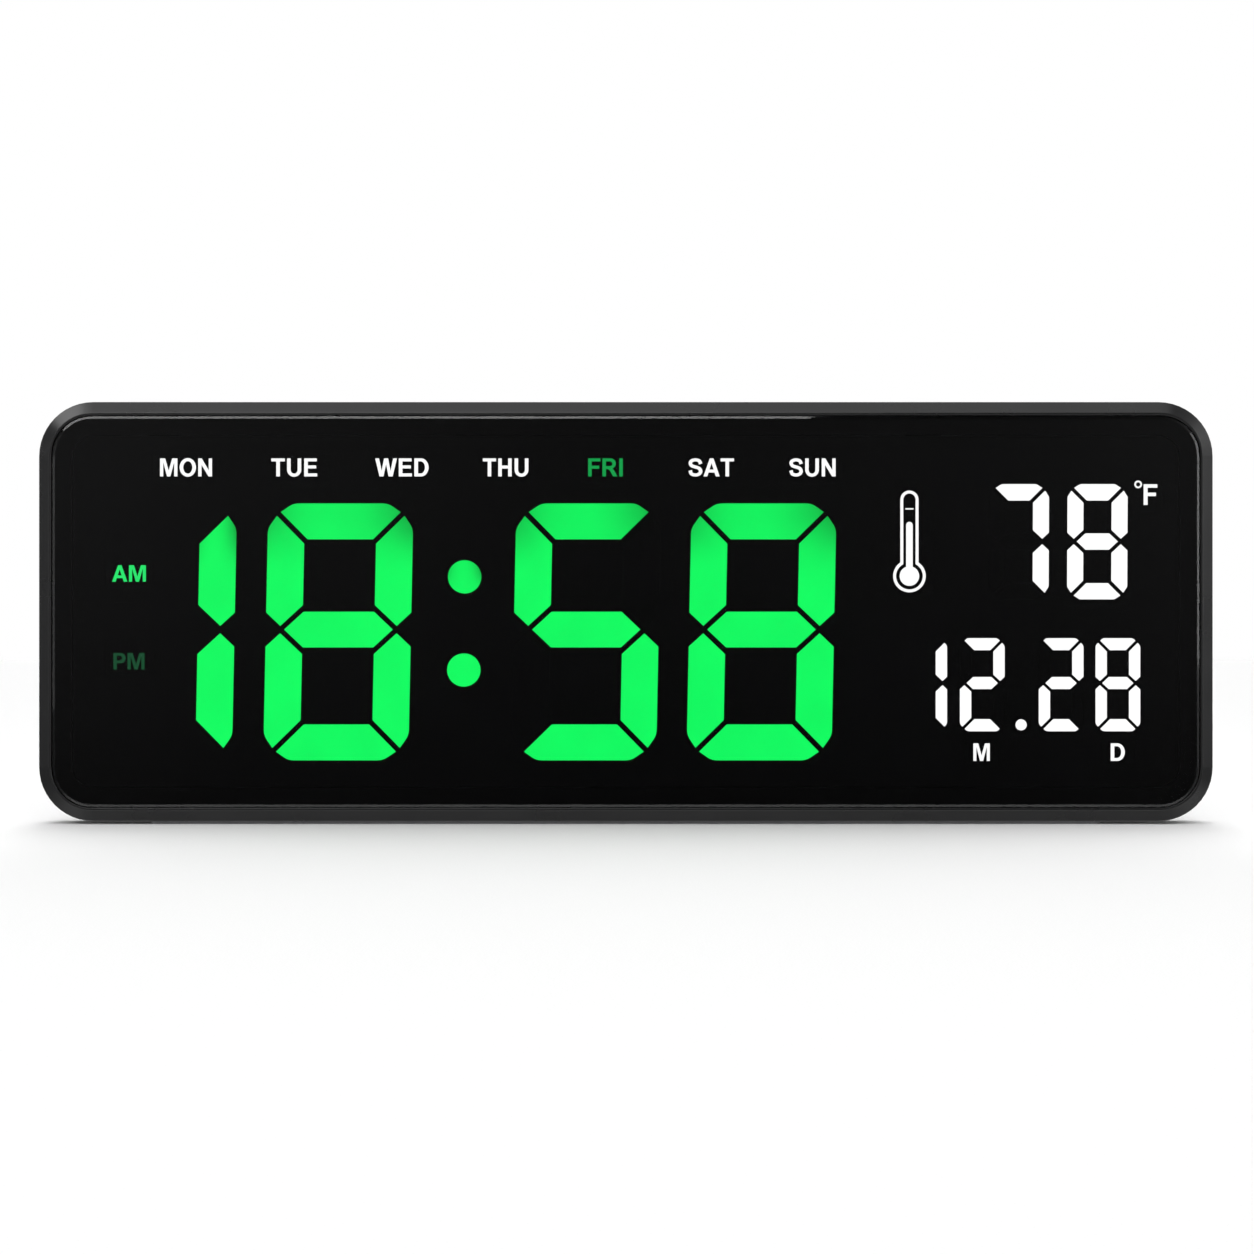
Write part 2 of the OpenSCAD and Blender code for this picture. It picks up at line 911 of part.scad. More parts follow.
module plunger(i) {
    color(part_black)
        rod(button_at[i], plunger_r, plunger_top - plunger_up - plunger_in, plunger_top);
}

module set_plunger() {
    plunger(0);
}

module mode_plunger() {
    plunger(1);
}

module up_plunger() {
    plunger(2);
}

module down_plunger() {
    plunger(3);
}

module button(i) {
    r = button_d / 2;
    flange_top = cover_in - slit;
    top = case_d + button_proud;
    color(part_black)
        difference() {
            turned(button_at[i], concat(
                [
                    [0, plunger_top],
                    [button_stem_r, plunger_top],
                    [button_stem_r, flange_top - button_flange_t],
                    [r + button_flange, flange_top - button_flange_t],
                    [r + button_flange, flange_top],
                    [r, flange_top]
                ],
                rounded([r, flange_top], [r, top], [0, top], 0.5),
                [[0, top]]
            ));
            slab(top - button_mark_d, top + through)
                translate(button_at[i])
                    children();
        }
}

module set_button() {
    button(0)
        circle(button_d * 0.16);
}

module mode_button() {
    button(1)
        square([button_d * 0.5, button_d * 0.14], center = true);
}

module up_button() {
    button(2)
        polygon(button_d * 0.24 * [[-1, -0.7], [1, -0.7], [0, 1]]);
}

module down_button() {
    button(3)
        polygon(button_d * 0.24 * [[-1, 0.7], [0, -1], [1, 0.7]]);
}

module cell_holder() {
    side = holder_w / 2;
    floor_d = board_back + holder_floor;
    color(part_black)
        difference() {
            block(cell_at, holder_w, holder_w, board_back, holder_top);
            rod(cell_at, cell_r + play, floor_d, holder_top + through);
            block(cell_at + [side, 0], side, clip_w + 2 * play, floor_d, holder_top + through);
            block(cell_at - [side, 0], side, cell_r, floor_d, holder_top + through);
        }
}

module cell_base_contact() {
    color(brass)
        rod(cell_at, contact_r, board_back + holder_floor, cell_low);
}

module cell_clip() {
    out = holder_w / 2 + play;
    color(brass)
        union() {
            block(cell_at + [out / 2, 0], out, clip_w, cell_top, cell_top + contact_t);
            block(cell_at + [out + contact_t / 2, 0], contact_t, clip_w, board_back, cell_top + contact_t);
        }
}

module coin_cell() {
    color(steel)
        turned(cell_at, [
            [0, cell_low], [cell_r - 1.2, cell_low], [cell_r - 0.9, cell_low + 0.5],
            [cell_r - 0.3, cell_low + 0.5], [cell_r, cell_low + 0.8], [cell_r, cell_top - 0.3],
            [cell_r - 0.3, cell_top], [0, cell_top]
        ]);
}

// The two door lugs, or the notches that let them through
module lugs(turn, grow, a, b) {
    r = door_hub_r + door_lug + grow;
    half = door_lug_angle / 2 + 2 * grow;
    slab(a, b)
        translate(cell_at)
            for (i = [0, 180])
                rotate(turn + i)
                    polygon(concat(
                        [[door_hub_r - 2, 0]],
                        arc_points([0, 0], r, -half, half)
                    ));
}

module cell_door() {
    color(case_black)
        difference() {
            union() {
                turned(cell_at, [
                    [0, door_lug_low], [door_hub_r, door_lug_low], [door_hub_r, case_d - door_t],
                    [door_r - 0.25, case_d - door_t], [door_r - 0.25, case_d - 0.3],
                    [door_r - 0.55, case_d], [0, case_d]
                ]);
                lugs(0, 0, door_lug_low, door_lug_top);
            }
            block(cell_at, coin_slot_l, coin_slot_w, case_d - coin_slot_d, case_d + through);
        }
}

module keyhole() {
    circle(hang_d / 2);
    translate([-hang_slot_w / 2, 0])
        square([hang_slot_w, hang_rise]);
    translate([0, hang_rise])
        circle(hang_slot_w / 2);
}

module vent() {
    square([vent_w, vent_h - vent_w], center = true);
    for (i = [-1, 1])
        translate([0, i * (vent_h - vent_w) / 2])
            circle(vent_w / 2);
}

module rear_cover() {
    back = case_d + through;
    recess_mid = [0, (recess_top + recess_low) / 2 - z_mid];
    recess_h = recess_top - recess_low;
    scoop_at = [0, recess_top - z_mid];
    color(case_black)
        difference() {
            union() {
                slab(cover_in, case_d)
                    round_rect(case_w - 2 * cover_b, case_h - 2 * cover_b, corner_r - cover_b);
                block(
                    recess_mid, 2 * (recess_x + recess_wall), recess_h + 2 * recess_wall,
                    case_d - recess_d - recess_floor, case_d - cover_t / 2
                );
                rod(scoop_at, scoop_r + recess_wall, case_d - scoop_d - recess_floor, case_d - cover_t / 2);
                rod(cell_at, door_ring_r, door_ring_low, case_d - cover_t / 2);
            }
            block(recess_mid, 2 * recess_x, recess_h, case_d - recess_d, back);
            rod(scoop_at, scoop_r, case_d - scoop_d, back);
            translate([0, hinge_y, hinge_z])
                rotate([0, 90, 0])
                    cylinder(r = pin_d / 2 + run_gap, h = pin_l + 2 * through, center = true);
            slab(cover_in - through, back) {
                for (i = [-1, 1])
                    translate([i * hang_pitch / 2, hang_z])
                        keyhole();
                for (at = tall_posts)
                    translate(at)
                        circle(cover_screw_r + play);
                for (at = button_at)
                    translate(at)
                        circle(button_d / 2 + 0.25);
                translate(jack_at)
                    circle(jack_r + play);
                for (i = [0:vent_count - 1])
                    translate([vent_x + i * vent_pitch, button_z])
                        vent();
            }
            for (at = tall_posts)
                rod(at, cover_head_r + play, case_d - cover_head_t - slit, back);
            rod(cell_at, door_r, door_seat, back);
            rod(cell_at, door_hub_r + play, door_ring_low - through, back);
            lugs(-door_turn, play, door_ring_low - through, back);
        }
}

module rear_screws() {
    seat = case_d - cover_head_t - slit;
    color(steel)
        for (at = tall_posts)
            screw(at, cover_screw_r, cover_screw_l, cover_head_r, cover_head_t, seat);
}

module base_strip() {
    color(rubber_black)
        translate([-strip_l / 2, -strip_w / 2, 0])
            cube([strip_l, strip_w, strip_proud + strip_in - slit]);
}

module stand_pin() {
    color(steel)
        translate([0, hinge_y, hinge_z])
            rotate([0, 90, 0])
                cylinder(r = pin_d / 2, h = pin_l, center = true);
}

// The leg's own frame: Y along the leg from the hinge, Z up from its underside
module on_leg() {
    translate([0, hinge_y, hinge_z])
        rotate([-leg_slope, 0, 0])
            children();
}

module leg_groove(grow, depth) {
    w = leg_w - 2 * pad_from_side + 2 * grow;
    translate([-w / 2, leg_l - pad_from_tip - pad_l - grow, -leg_under - depth])
        cube([w, pad_l + 2 * grow, depth + pad_inset]);
}

module stand_leg() {
    bay_w = (leg_w - 2 * leg_rim - 2 * leg_rib_t) / 3;
    bay_from = leg_barrel_r + leg_rim;
    bay_l = leg_l - pad_l - pad_from_tip - leg_rim - bay_from;
    color(case_black)
        on_leg()
            difference() {
                union() {
                    rotate([0, 90, 0])
                        cylinder(r = leg_barrel_r, h = leg_w, center = true);
                    translate([0, 0, -leg_under])
                        linear_extrude(leg_under + leg_over) {
                            translate([-leg_w / 2, 0])
                                square([leg_w, leg_l - leg_corner_r]);
                            translate([leg_corner_r - leg_w / 2, 0])
                                square([leg_w - 2 * leg_corner_r, leg_l]);
                            for (i = [-1, 1])
                                translate([i * (leg_w / 2 - leg_corner_r), leg_l - leg_corner_r])
                                    circle(leg_corner_r);
                        }
                }
                rotate([0, 90, 0])
                    cylinder(r = pin_d / 2 + run_gap, h = leg_w + 2 * through, center = true);
                for (i = [-1:1])
                    translate([i * (bay_w + leg_rib_t) - bay_w / 2, bay_from, leg_web_t - leg_under])
                        cube([bay_w, bay_l, leg_under + leg_over]);
                leg_groove(slit, through);
            }
}

module stand_pad() {
    deep = 2 * hinge_z;
    color(rubber_black)
        difference() {
            on_leg()
                leg_groove(0, deep);
            translate([-leg_w, hinge_y, -2 * deep])
                cube([2 * leg_w, 2 * leg_l, 2 * deep]);
        }
}

front_frame();
front_lens();
lens_tape();
display_mask();
hour_tens_bars();
hour_units_bars();
colon_dots();
minute_tens_bars();
minute_units_bars();
temperature_tens_bars();
temperature_units_bars();
month_tens_bars();
month_units_bars();
date_point();
day_tens_bars();
day_units_bars();
unlit_bars();
weekday_films();
indicator_films();
green_leds();
white_leds();
display_board();
mask_screws();
board_screws();
controller_chip();
driver_chips();
timing_crystal();
supply_capacitor();
temperature_sensor();
power_jack();
power_jack_pin();
switch_bodies();
cell_holder();
cell_base_contact();
cell_clip();
coin_cell();
rear_cover();
rear_screws();
base_strip();
stand_pin();
stand_leg();
stand_pad();
set_button();
mode_button();
up_button();
down_button();
set_plunger();
mode_plunger();
up_plunger();
down_plunger();
cell_door();
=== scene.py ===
"""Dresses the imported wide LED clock: finishes, printed legends, studio and camera."""

import math

import bmesh
import bpy
from bpy.props import FloatProperty, FloatVectorProperty, PointerProperty
from bpy.types import Operator, Panel, PropertyGroup
from mathutils import Matrix, Vector


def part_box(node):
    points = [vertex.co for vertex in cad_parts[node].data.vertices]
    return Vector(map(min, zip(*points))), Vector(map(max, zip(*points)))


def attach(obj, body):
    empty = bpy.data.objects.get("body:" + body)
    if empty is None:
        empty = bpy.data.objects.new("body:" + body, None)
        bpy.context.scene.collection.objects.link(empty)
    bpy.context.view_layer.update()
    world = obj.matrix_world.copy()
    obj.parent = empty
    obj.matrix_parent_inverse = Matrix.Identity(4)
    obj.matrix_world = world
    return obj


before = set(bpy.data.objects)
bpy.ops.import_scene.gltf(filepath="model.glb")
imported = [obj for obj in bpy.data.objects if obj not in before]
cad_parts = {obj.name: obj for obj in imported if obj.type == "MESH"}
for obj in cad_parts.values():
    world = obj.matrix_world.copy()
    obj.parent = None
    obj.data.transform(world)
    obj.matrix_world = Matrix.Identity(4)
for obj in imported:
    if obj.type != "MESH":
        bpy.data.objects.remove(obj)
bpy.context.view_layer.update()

bl_info = {
    "name": "Wide LED clock",
    "version": (1, 0, 0),
    "blender": (4, 5, 0),
    "location": "3D View > Sidebar > Clock",
    "description": "Gives the packed clock its finishes, printed legends, studio and camera",
    "category": "Object",
}

MM = 0.001

# The case's underside stands this far above the surface, on its base strip
CASE_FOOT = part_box("front_frame")[0].z
CASE_BODY = "case"

# Lens: each face of the smoked sheet stops this share of the light
LENS_STOP = 0.4
LENS_PASS = (1 - LENS_STOP) ** 2

# Typical refraction of the plastics
ABS_IOR = 1.53
RUBBER_IOR = 1.41
ACRYLIC_IOR = 1.49
POLYCARBONATE_IOR = 1.585

# Nearly all values of a noise lie between these
NOISE_LOW = 0.3
NOISE_HIGH = 0.7

# Moulded grain: change of shade, slope, width of a cloud of gloss in grains, rays for a soft edge
GRAIN_SHADE = 0.1
GRAIN_SLOPE = 0.5
CLOUD_GRAINS = 60
EDGE_RAYS = 4

# Marks on metal: change of gloss, slope, and depth as a share of their width
MARK_GLOSS = 0.25
MARK_SLOPE = 0.3
MARK_DEPTH = 0.1

# Lit diffusers: width of a bright spot, lowest and highest glow, shade and gloss of the plastic
SPOT_WIDTH = 14 * MM
GLOW_LOW = 0.96
GLOW_HIGH = 1.02
UNLIT_SHADE = 0.2
DIFFUSER_ROUGHNESS = 0.4
# The glow falls towards the upper corners: these are the left and right end of the fall,
# the share that the middle loses too, and the heights between which it grows
FALL_LEFT = -0.92
FALL_RIGHT = 1.08
FALL_MIDDLE = 0.12
FALL_FROM = 0.72
FALL_TO = 0.98

# Polish haze of the lens: width of a cloud, lowest and highest roughness
HAZE_WIDTH = 45 * MM
HAZE_LOW = 0.02
HAZE_HIGH = 0.05


def linear(colour):
    """Linear red, green and blue of an sRGB hex colour."""
    parts = [int(colour[i : i + 2], 16) / 255 for i in (1, 3, 5)]
    return [c / 12.92 if c <= 0.04045 else ((c + 0.055) / 1.055) ** 2.4 for c in parts]


def tint(name, text, colour):
    """A colour that the panel shows."""
    return FloatVectorProperty(
        name=name, description=text, subtype="COLOR", size=3, min=0, max=1, default=linear(colour)
    )


def length(name, text, millimetres):
    """A length that the panel shows."""
    return FloatProperty(
        name=name, description=text, unit="LENGTH", precision=5, default=millimetres * MM
    )


class ClockColours(PropertyGroup):
    """Colours of the clock's finishes."""

    case: tint("Case", "Moulded front frame", "#141415")
    cover: tint("Cover", "Rear cover, leg and door", "#1c1c1e")
    button: tint("Buttons", "Rear push buttons", "#1f1f21")
    # Mid grey: partly the rubber's own tone, partly painted shade that makes the base strip read as
    # the soft shadow line under the case
    rubber: tint("Rubber", "Base strip and leg pad", "#7d7d7f")
    lens: tint("Lens", "Smoked front sheet", "#050506")
    green: tint("Lit green", "Green bars behind the lens", "#09f75f")
    white: tint("Lit white", "White bars and words behind the lens", "#ffffff")
    weekday: tint("Weekday", "The weekday that is lit green", "#0e9d48")
    morning: tint("Morning", "The lit half of the day", "#24e46c")
    evening: tint("Evening", "The dim half of the day", "#12492b")


class ClockSizes(PropertyGroup):
    """Sizes of the printed legends and of the surface grain."""

    weekday_cap: length("Weekday letters", "Height of the weekday letters", 6.45)
    half_day_cap: length("Half day letters", "Height of the letters at the left", 5.9)
    date_cap: length("Date letters", "Height of the letters under the date", 6.3)
    degree_cap: length("Degree letter", "Height of the letter beside the temperature", 7.4)
    print_depth: length("Print", "Thickness of the printed windows", 0.08)
    case_grain: length("Case grain", "Width of a grain on the front frame", 0.35)
    cover_grain: length("Cover grain", "Width of a grain on the rear cover", 1.4)
    edge: length("Edge", "Radius that the eye sees on moulded edges", 0.3)


class ClockStudio(PropertyGroup):
    """Camera and lights."""

    distance: length("Distance", "Camera to the display", 1203)
    height: length("Height", "Camera above the surface", 70.5)
    aside: length("Aside", "Camera to the right of the middle", 0.4)
    view: length("View", "Width of the view at the display", 448.45)
    dome: FloatProperty(name="Dome", description="Light from above", default=4.5, min=0)
    lamps: FloatProperty(name="Lamps", description="Brightness of softboxes", default=1.0, min=0)


def add(tree, kind, settings=None, links=None):
    """Adds a node, sets its inputs or its own values, and links sockets to its inputs."""
    node = tree.nodes.new(kind)
    for name, value in (settings or {}).items():
        if isinstance(name, int) or name in node.inputs:
            node.inputs[name].default_value = value
        else:
            setattr(node, name, value)
    for name, socket in (links or {}).items():
        tree.links.new(socket, node.inputs[name])
    return node


def empty_material(name):
    """A material without nodes, and its node tree."""
    made = bpy.data.materials.new(name)
    made.use_nodes = True
    made.node_tree.nodes.clear()
    return made, made.node_tree


def close(tree, shader):
    """Links the last shader to the material's output."""
    add(tree, "ShaderNodeOutputMaterial", links={"Surface": shader.outputs[0]})


def rgba(colour):
    """A colour with full opacity."""
    return (*colour, 1.0)


def scaled(colour, share):
    """A colour made lighter or darker."""
    return [min(1.0, c * share) for c in colour]


def moulded(name, colour, roughness, grain, relief, ior=ABS_IOR, cloud=0.03, edge=0.0, shine=0.5):
    """A moulded plastic or rubber: a fine grain, cloudy gloss and softened edges."""
    made, tree = empty_material(name)
    place = add(tree, "ShaderNodeTexCoord").outputs["Object"]
    fine = add(
        tree,
        "ShaderNodeTexNoise",
        {"Scale": 1 / grain, "Detail": 2.0, "Roughness": 0.6},
        {"Vector": place},
    )
    broad = add(
        tree,
        "ShaderNodeTexNoise",
        {"Scale": 1 / (CLOUD_GRAINS * grain), "Detail": 3.0},
        {"Vector": place},
    )
    gloss = add(
        tree,
        "ShaderNodeMapRange",
        {
            "From Min": NOISE_LOW,
            "From Max": NOISE_HIGH,
            "To Min": roughness - cloud,
            "To Max": roughness + cloud,
        },
        {"Value": broad.outputs["Fac"]},
    )
    # The mix node's inputs 6 and 7 are its colours, and its output 2 is the mixed one
    darker = rgba(scaled(colour, 1 - GRAIN_SHADE))
    lighter = rgba(scaled(colour, 1 + GRAIN_SHADE))
    shade = add(
        tree,
        "ShaderNodeMix",
        {"data_type": "RGBA", 6: darker, 7: lighter},
        {0: fine.outputs["Fac"]},
    )
    bump = add(
        tree,
        "ShaderNodeBump",
        {"Strength": GRAIN_SLOPE, "Distance": relief},
        {"Height": fine.outputs["Fac"]},
    )
    if edge:
        soft = add(tree, "ShaderNodeBevel", {"samples": EDGE_RAYS, "Radius": edge})
        tree.links.new(soft.outputs["Normal"], bump.inputs["Normal"])
    close(
        tree,
        add(
            tree,
            "ShaderNodeBsdfPrincipled",
            {"IOR": ior, "Specular IOR Level": shine},
            {
                "Base Color": shade.outputs[2],
                "Roughness": gloss.outputs["Result"],
                "Normal": bump.outputs["Normal"],
            },
        ),
    )
    return made


def metal(name, colour, roughness, mark, stretch):
    """A drawn, stamped or plated metal with fine marks along one direction."""
    made, tree = empty_material(name)
    place = add(tree, "ShaderNodeTexCoord").outputs["Object"]
    along = add(tree, "ShaderNodeMapping", {"Scale": stretch}, {"Vector": place})
    marks = add(
        tree,
        "ShaderNodeTexNoise",
        {"Scale": 1 / mark, "Detail": 3.0},
        {"Vector": along.outputs["Vector"]},
    )
    gloss = add(
        tree,
        "ShaderNodeMapRange",
        {"To Min": roughness * (1 - MARK_GLOSS), "To Max": roughness * (1 + MARK_GLOSS)},
        {"Value": marks.outputs["Fac"]},
    )
    bump = add(
        tree,
        "ShaderNodeBump",
        {"Strength": MARK_SLOPE, "Distance": mark * MARK_DEPTH},
        {"Height": marks.outputs["Fac"]},
    )
    close(
        tree,
        add(
            tree,
            "ShaderNodeBsdfPrincipled",
            {"Base Color": rgba(colour), "Metallic": 1.0},
            {"Roughness": gloss.outputs["Result"], "Normal": bump.outputs["Normal"]},
        ),
    )
    return made


def lit_diffuser(name, colour, strength, fall=0.0):
    """A milky diffuser with light behind it: a little uneven, and dimmer in its upper corners."""
    made, tree = empty_material(name)
    place = add(tree, "ShaderNodeTexCoord")
    uneven = add(
        tree,
        "ShaderNodeTexNoise",
        {"Scale": 1 / SPOT_WIDTH, "Detail": 1.0},
        {"Vector": place.outputs["Object"]},
    )
    mottle = add(
        tree,
        "ShaderNodeMapRange",
        {
            "From Min": NOISE_LOW,
            "From Max": NOISE_HIGH,
            "To Min": strength * GLOW_LOW,
            "To Max": strength * GLOW_HIGH,
        },
        {"Value": uneven.outputs["Fac"]},
    )
    apart = add(tree, "ShaderNodeSeparateXYZ", links={"Vector": place.outputs["Generated"]})
    aside = add(
        tree,
        "ShaderNodeMapRange",
        {"To Min": FALL_LEFT, "To Max": FALL_RIGHT},
        {"Value": apart.outputs["X"]},
    )
    corner = add(
        tree, "ShaderNodeMath", {"operation": "POWER", 1: 2.0}, {0: aside.outputs["Result"]}
    )
    share = add(
        tree,
        "ShaderNodeMath",
        {"operation": "MULTIPLY_ADD", 1: fall, 2: FALL_MIDDLE * fall},
        {0: corner.outputs[0]},
    )
    high = add(
        tree,
        "ShaderNodeMapRange",
        {"interpolation_type": "SMOOTHSTEP", "From Min": FALL_FROM, "From Max": FALL_TO},
        {"Value": apart.outputs["Z"]},
    )
    dim = add(
        tree,
        "ShaderNodeMath",
        {"operation": "MULTIPLY"},
        {0: share.outputs[0], 1: high.outputs["Result"]},
    )
    bright = add(tree, "ShaderNodeMath", {"operation": "SUBTRACT", 0: 1.0}, {1: dim.outputs[0]})
    glow = add(
        tree,
        "ShaderNodeMath",
        {"operation": "MULTIPLY"},
        {0: mottle.outputs["Result"], 1: bright.outputs[0]},
    )
    close(
        tree,
        add(
            tree,
            "ShaderNodeBsdfPrincipled",
            {
                "Base Color": rgba(scaled(colour, UNLIT_SHADE)),
                "Roughness": DIFFUSER_ROUGHNESS,
                "IOR": POLYCARBONATE_IOR,
                "Emission Color": rgba(colour),
            },
            {"Emission Strength": glow.outputs["Value"]},
        ),
    )
    return made


def smoked_lens(colour):
    """Polished smoked sheet: near black, see-through, with a faint polish haze."""
    made, tree = empty_material("Cast acrylic smoked and polished")
    place = add(tree, "ShaderNodeTexCoord").outputs["Object"]
    haze = add(
        tree, "ShaderNodeTexNoise", {"Scale": 1 / HAZE_WIDTH, "Detail": 2.0}, {"Vector": place}
    )
    gloss = add(
        tree,
        "ShaderNodeMapRange",
        {"To Min": HAZE_LOW, "To Max": HAZE_HIGH},
        {"Value": haze.outputs["Fac"]},
    )
    close(
        tree,
        add(
            tree,
            "ShaderNodeBsdfPrincipled",
            {
                "Base Color": rgba(colour),
                "IOR": ACRYLIC_IOR,
                "Specular IOR Level": 1.0,
                "Alpha": LENS_STOP,
            },
            {"Roughness": gloss.outputs["Result"]},
        ),
    )
    return made


def paint(made, *nodes):
    """Gives CAD nodes a material."""
    for name in nodes:
        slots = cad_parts[name].data.materials
        slots.clear()
        slots.append(made)


class CLOCK_OT_case(Operator):
    """Finishes of the case, cover, leg, door, buttons and rubber."""

    bl_idname = "clock.case"
    bl_label = "Case finishes"

    def execute(self, context):
        colours = context.scene.clock_colours
        sizes = context.scene.clock_sizes
        # A finely eroded mould gives a soft sheen that spreads along each edge
        satin = moulded(
            "ABS black moulded satin",
            colours.case,
            roughness=0.29,
            grain=sizes.case_grain,
            relief=0.005 * MM,
        )
        paint(satin, "front_frame")
        # A coarsely eroded mould scatters light, so the back reads as a dull grainy grey-black;
        # its real grain of 0.3 mm is too fine to show, so it is drawn coarser
        grainy = moulded(
            "ABS black moulded grainy",
            colours.cover,
            roughness=0.45,
            grain=sizes.cover_grain,
            relief=1.2 * MM,
            edge=sizes.edge,
        )
        paint(grainy, "rear_cover", "stand_leg", "cell_door")
        # The caps come from a smoother mould and catch a small sharp light
        caps = moulded(
            "ABS black moulded fine",
            colours.button,
            roughness=0.28,
            grain=sizes.case_grain,
            relief=0.003 * MM,
            edge=sizes.edge,
        )
        paint(caps, "set_button", "mode_button", "up_button", "down_button")
        # Pressed rubber is dull, with a dusty broad sheen; its mid grey is partly the rubber's own
        # tone and partly painted shade, set so the strip in the gap under the case reads as the
        # soft shadow line below it
        rubber = moulded(
            "Silicone rubber pressed",
            colours.rubber,
            roughness=0.75,
            grain=sizes.case_grain,
            relief=0.012 * MM,
            ior=RUBBER_IOR,
            edge=sizes.edge,
        )
        paint(rubber, "base_strip", "stand_pad")
        # Zinc on turned steel is pale grey with a cool, slightly uneven shine
        zinc = metal(
            "Steel turned and zinc plated",
            linear("#b9bdc2"),
            roughness=0.32,
            mark=0.4 * MM,
            stretch=(1, 0.3, 1),
        )
        paint(zinc, "rear_screws", "mask_screws", "board_screws", "stand_pin")
        return {"FINISHED"}


# Finishes that stay dark behind the lens: name, roughness, width and relief of the grain, nodes
DARK_TONE = "#080808"
DARK_SHINE = 0.1
DARK_FINISHES = [
    # Carrier film with a matt adhesive shows no shine in the groove
    ("Acrylic foam tape black", 0.8, 0.3 * MM, 0.01 * MM, ["lens_tape"]),
    # The mask's eroded matt face swallows stray light between the bars
    ("ABS black moulded matt", 0.7, 0.3 * MM, 0.008 * MM, ["display_mask"]),
    # Without light the tinted bars sink into the mask
    ("Polycarbonate tinted moulded", 0.7, 0.5 * MM, 0.002 * MM, ["unlit_bars"]),
    # Printed film is an even deep black behind the letters
    (
        "Polyester film printed black",
        0.7,
        0.4 * MM,
        0.002 * MM,
        ["weekday_films", "indicator_films"],
    ),
]
GREEN_BARS = [
    "hour_tens_bars",
    "hour_units_bars",
    "colon_dots",
    "minute_tens_bars",
    "minute_units_bars",
]
WHITE_BARS = [
    "temperature_tens_bars",
    "temperature_units_bars",
    "month_tens_bars",
    "month_units_bars",
    "date_point",
    "day_tens_bars",
    "day_units_bars",
]
# Brightness seen through the lens, and how far it falls in the upper corners
GREEN_GLOW = 1.0
GREEN_FALL = 0.52
WHITE_GLOW = 1.04
WHITE_FALL = 0.02


class CLOCK_OT_display(Operator):
    """Finishes of the lens, mask, films and diffuser bars."""

    bl_idname = "clock.display"
    bl_label = "Display finishes"

    def execute(self, context):
        colours = context.scene.clock_colours
        # Polished sheet mirrors the room faintly and lets the lit bars show through
        paint(smoked_lens(colours.lens), "front_lens")
        for name, roughness, grain, relief, nodes in DARK_FINISHES:
            dark = moulded(name, linear(DARK_TONE), roughness, grain, relief, shine=DARK_SHINE)
            paint(dark, *nodes)
        # Milky polycarbonate spreads the light of the green LEDs over the whole bar
        green = lit_diffuser(
            "Polycarbonate milky lit green", colours.green, GREEN_GLOW / LENS_PASS, GREEN_FALL
        )
        paint(green, *GREEN_BARS)
        # The white bars glow so strongly that they read as plain white
        white = lit_diffuser(
            "Polycarbonate milky lit white", colours.white, WHITE_GLOW / LENS_PASS, WHITE_FALL
        )
        paint(white, *WHITE_BARS)
        # The bars shine to the front only, so the black around them stays black
        for name in [*GREEN_BARS, *WHITE_BARS, "unlit_bars"]:
            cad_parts[name].visible_diffuse = False
        return {"FINISHED"}


# Inner plastics: name, colour, roughness, width and relief of the grain, nodes
INNER_FINISHES = [
    # Cured resist over woven glass is a glossy deep green with a faint weave
    ("Glass epoxy board with green resist", "#0f3d26", 0.3, 0.5 * MM, 0.01 * MM, ["display_board"]),
    # Packages of reflective white resin look chalky
    (
        "Polyphthalamide white moulded",
        "#ece8d8",
        0.55,
        0.2 * MM,
        0.003 * MM,
        ["green_leds", "white_leds"],
    ),
    # Transfer moulded epoxy is a grainy charcoal
    (
        "Epoxy charcoal moulded",
        "#1b1b1d",
        0.6,
        0.2 * MM,
        0.006 * MM,
        ["controller_chip", "driver_chips"],
    ),
    # Shrunk sleeve has a tight glossy skin
    ("Vinyl sleeve shrunk", "#11142a", 0.22, 0.8 * MM, 0.002 * MM, ["supply_capacitor"]),
    # A dipped bead is wet looking and nearly black
    ("Epoxy bead dipped", "#17120d", 0.15, 0.8 * MM, 0.002 * MM, ["temperature_sensor"]),
]
NYLON_PIECES = [
    "power_jack",
    "switch_bodies",
    "cell_holder",
    "set_plunger",
    "mode_plunger",
    "up_plunger",
    "down_plunger",
]


class CLOCK_OT_inside(Operator):
    """Finishes of the board and of what it carries."""

    bl_idname = "clock.inside"
    bl_label = "Inner finishes"

    def execute(self, context):
        for name, colour, roughness, grain, relief, nodes in INNER_FINISHES:
            paint(moulded(name, linear(colour), roughness, grain, relief), *nodes)
        # Glass filled nylon is dull with tiny specks
        nylon = moulded(
            "Nylon black glass filled",
            linear("#18181a"),
            roughness=0.5,
            grain=0.25 * MM,
            relief=0.006 * MM,
            edge=0.2 * MM,
        )
        paint(nylon, *NYLON_PIECES)
        # Deep drawn cans show soft lines along the draw
        can = metal(
            "Nickel plated steel drawn",
            linear("#c6c7c4"),
            roughness=0.25,
            mark=0.3 * MM,
            stretch=(1, 0.1, 1),
        )
        paint(can, "timing_crystal", "coin_cell")
        # Stamped brass is warm, with rolling lines
        brass = metal(
            "Brass rolled and stamped",
            linear("#c9a553"),
            roughness=0.28,
            mark=0.3 * MM,
            stretch=(0.1, 1, 1),
        )
        paint(brass, "power_jack_pin", "cell_base_contact", "cell_clip")
        return {"FINISHED"}


# Arcs are drawn in steps of this many degrees, so a full ring ends one step before its start
ARC_STEP = 9
FULL_RING = 360 - ARC_STEP

# Widths of upright and level strokes in cap heights
STEM = 0.195
BAR = 0.168

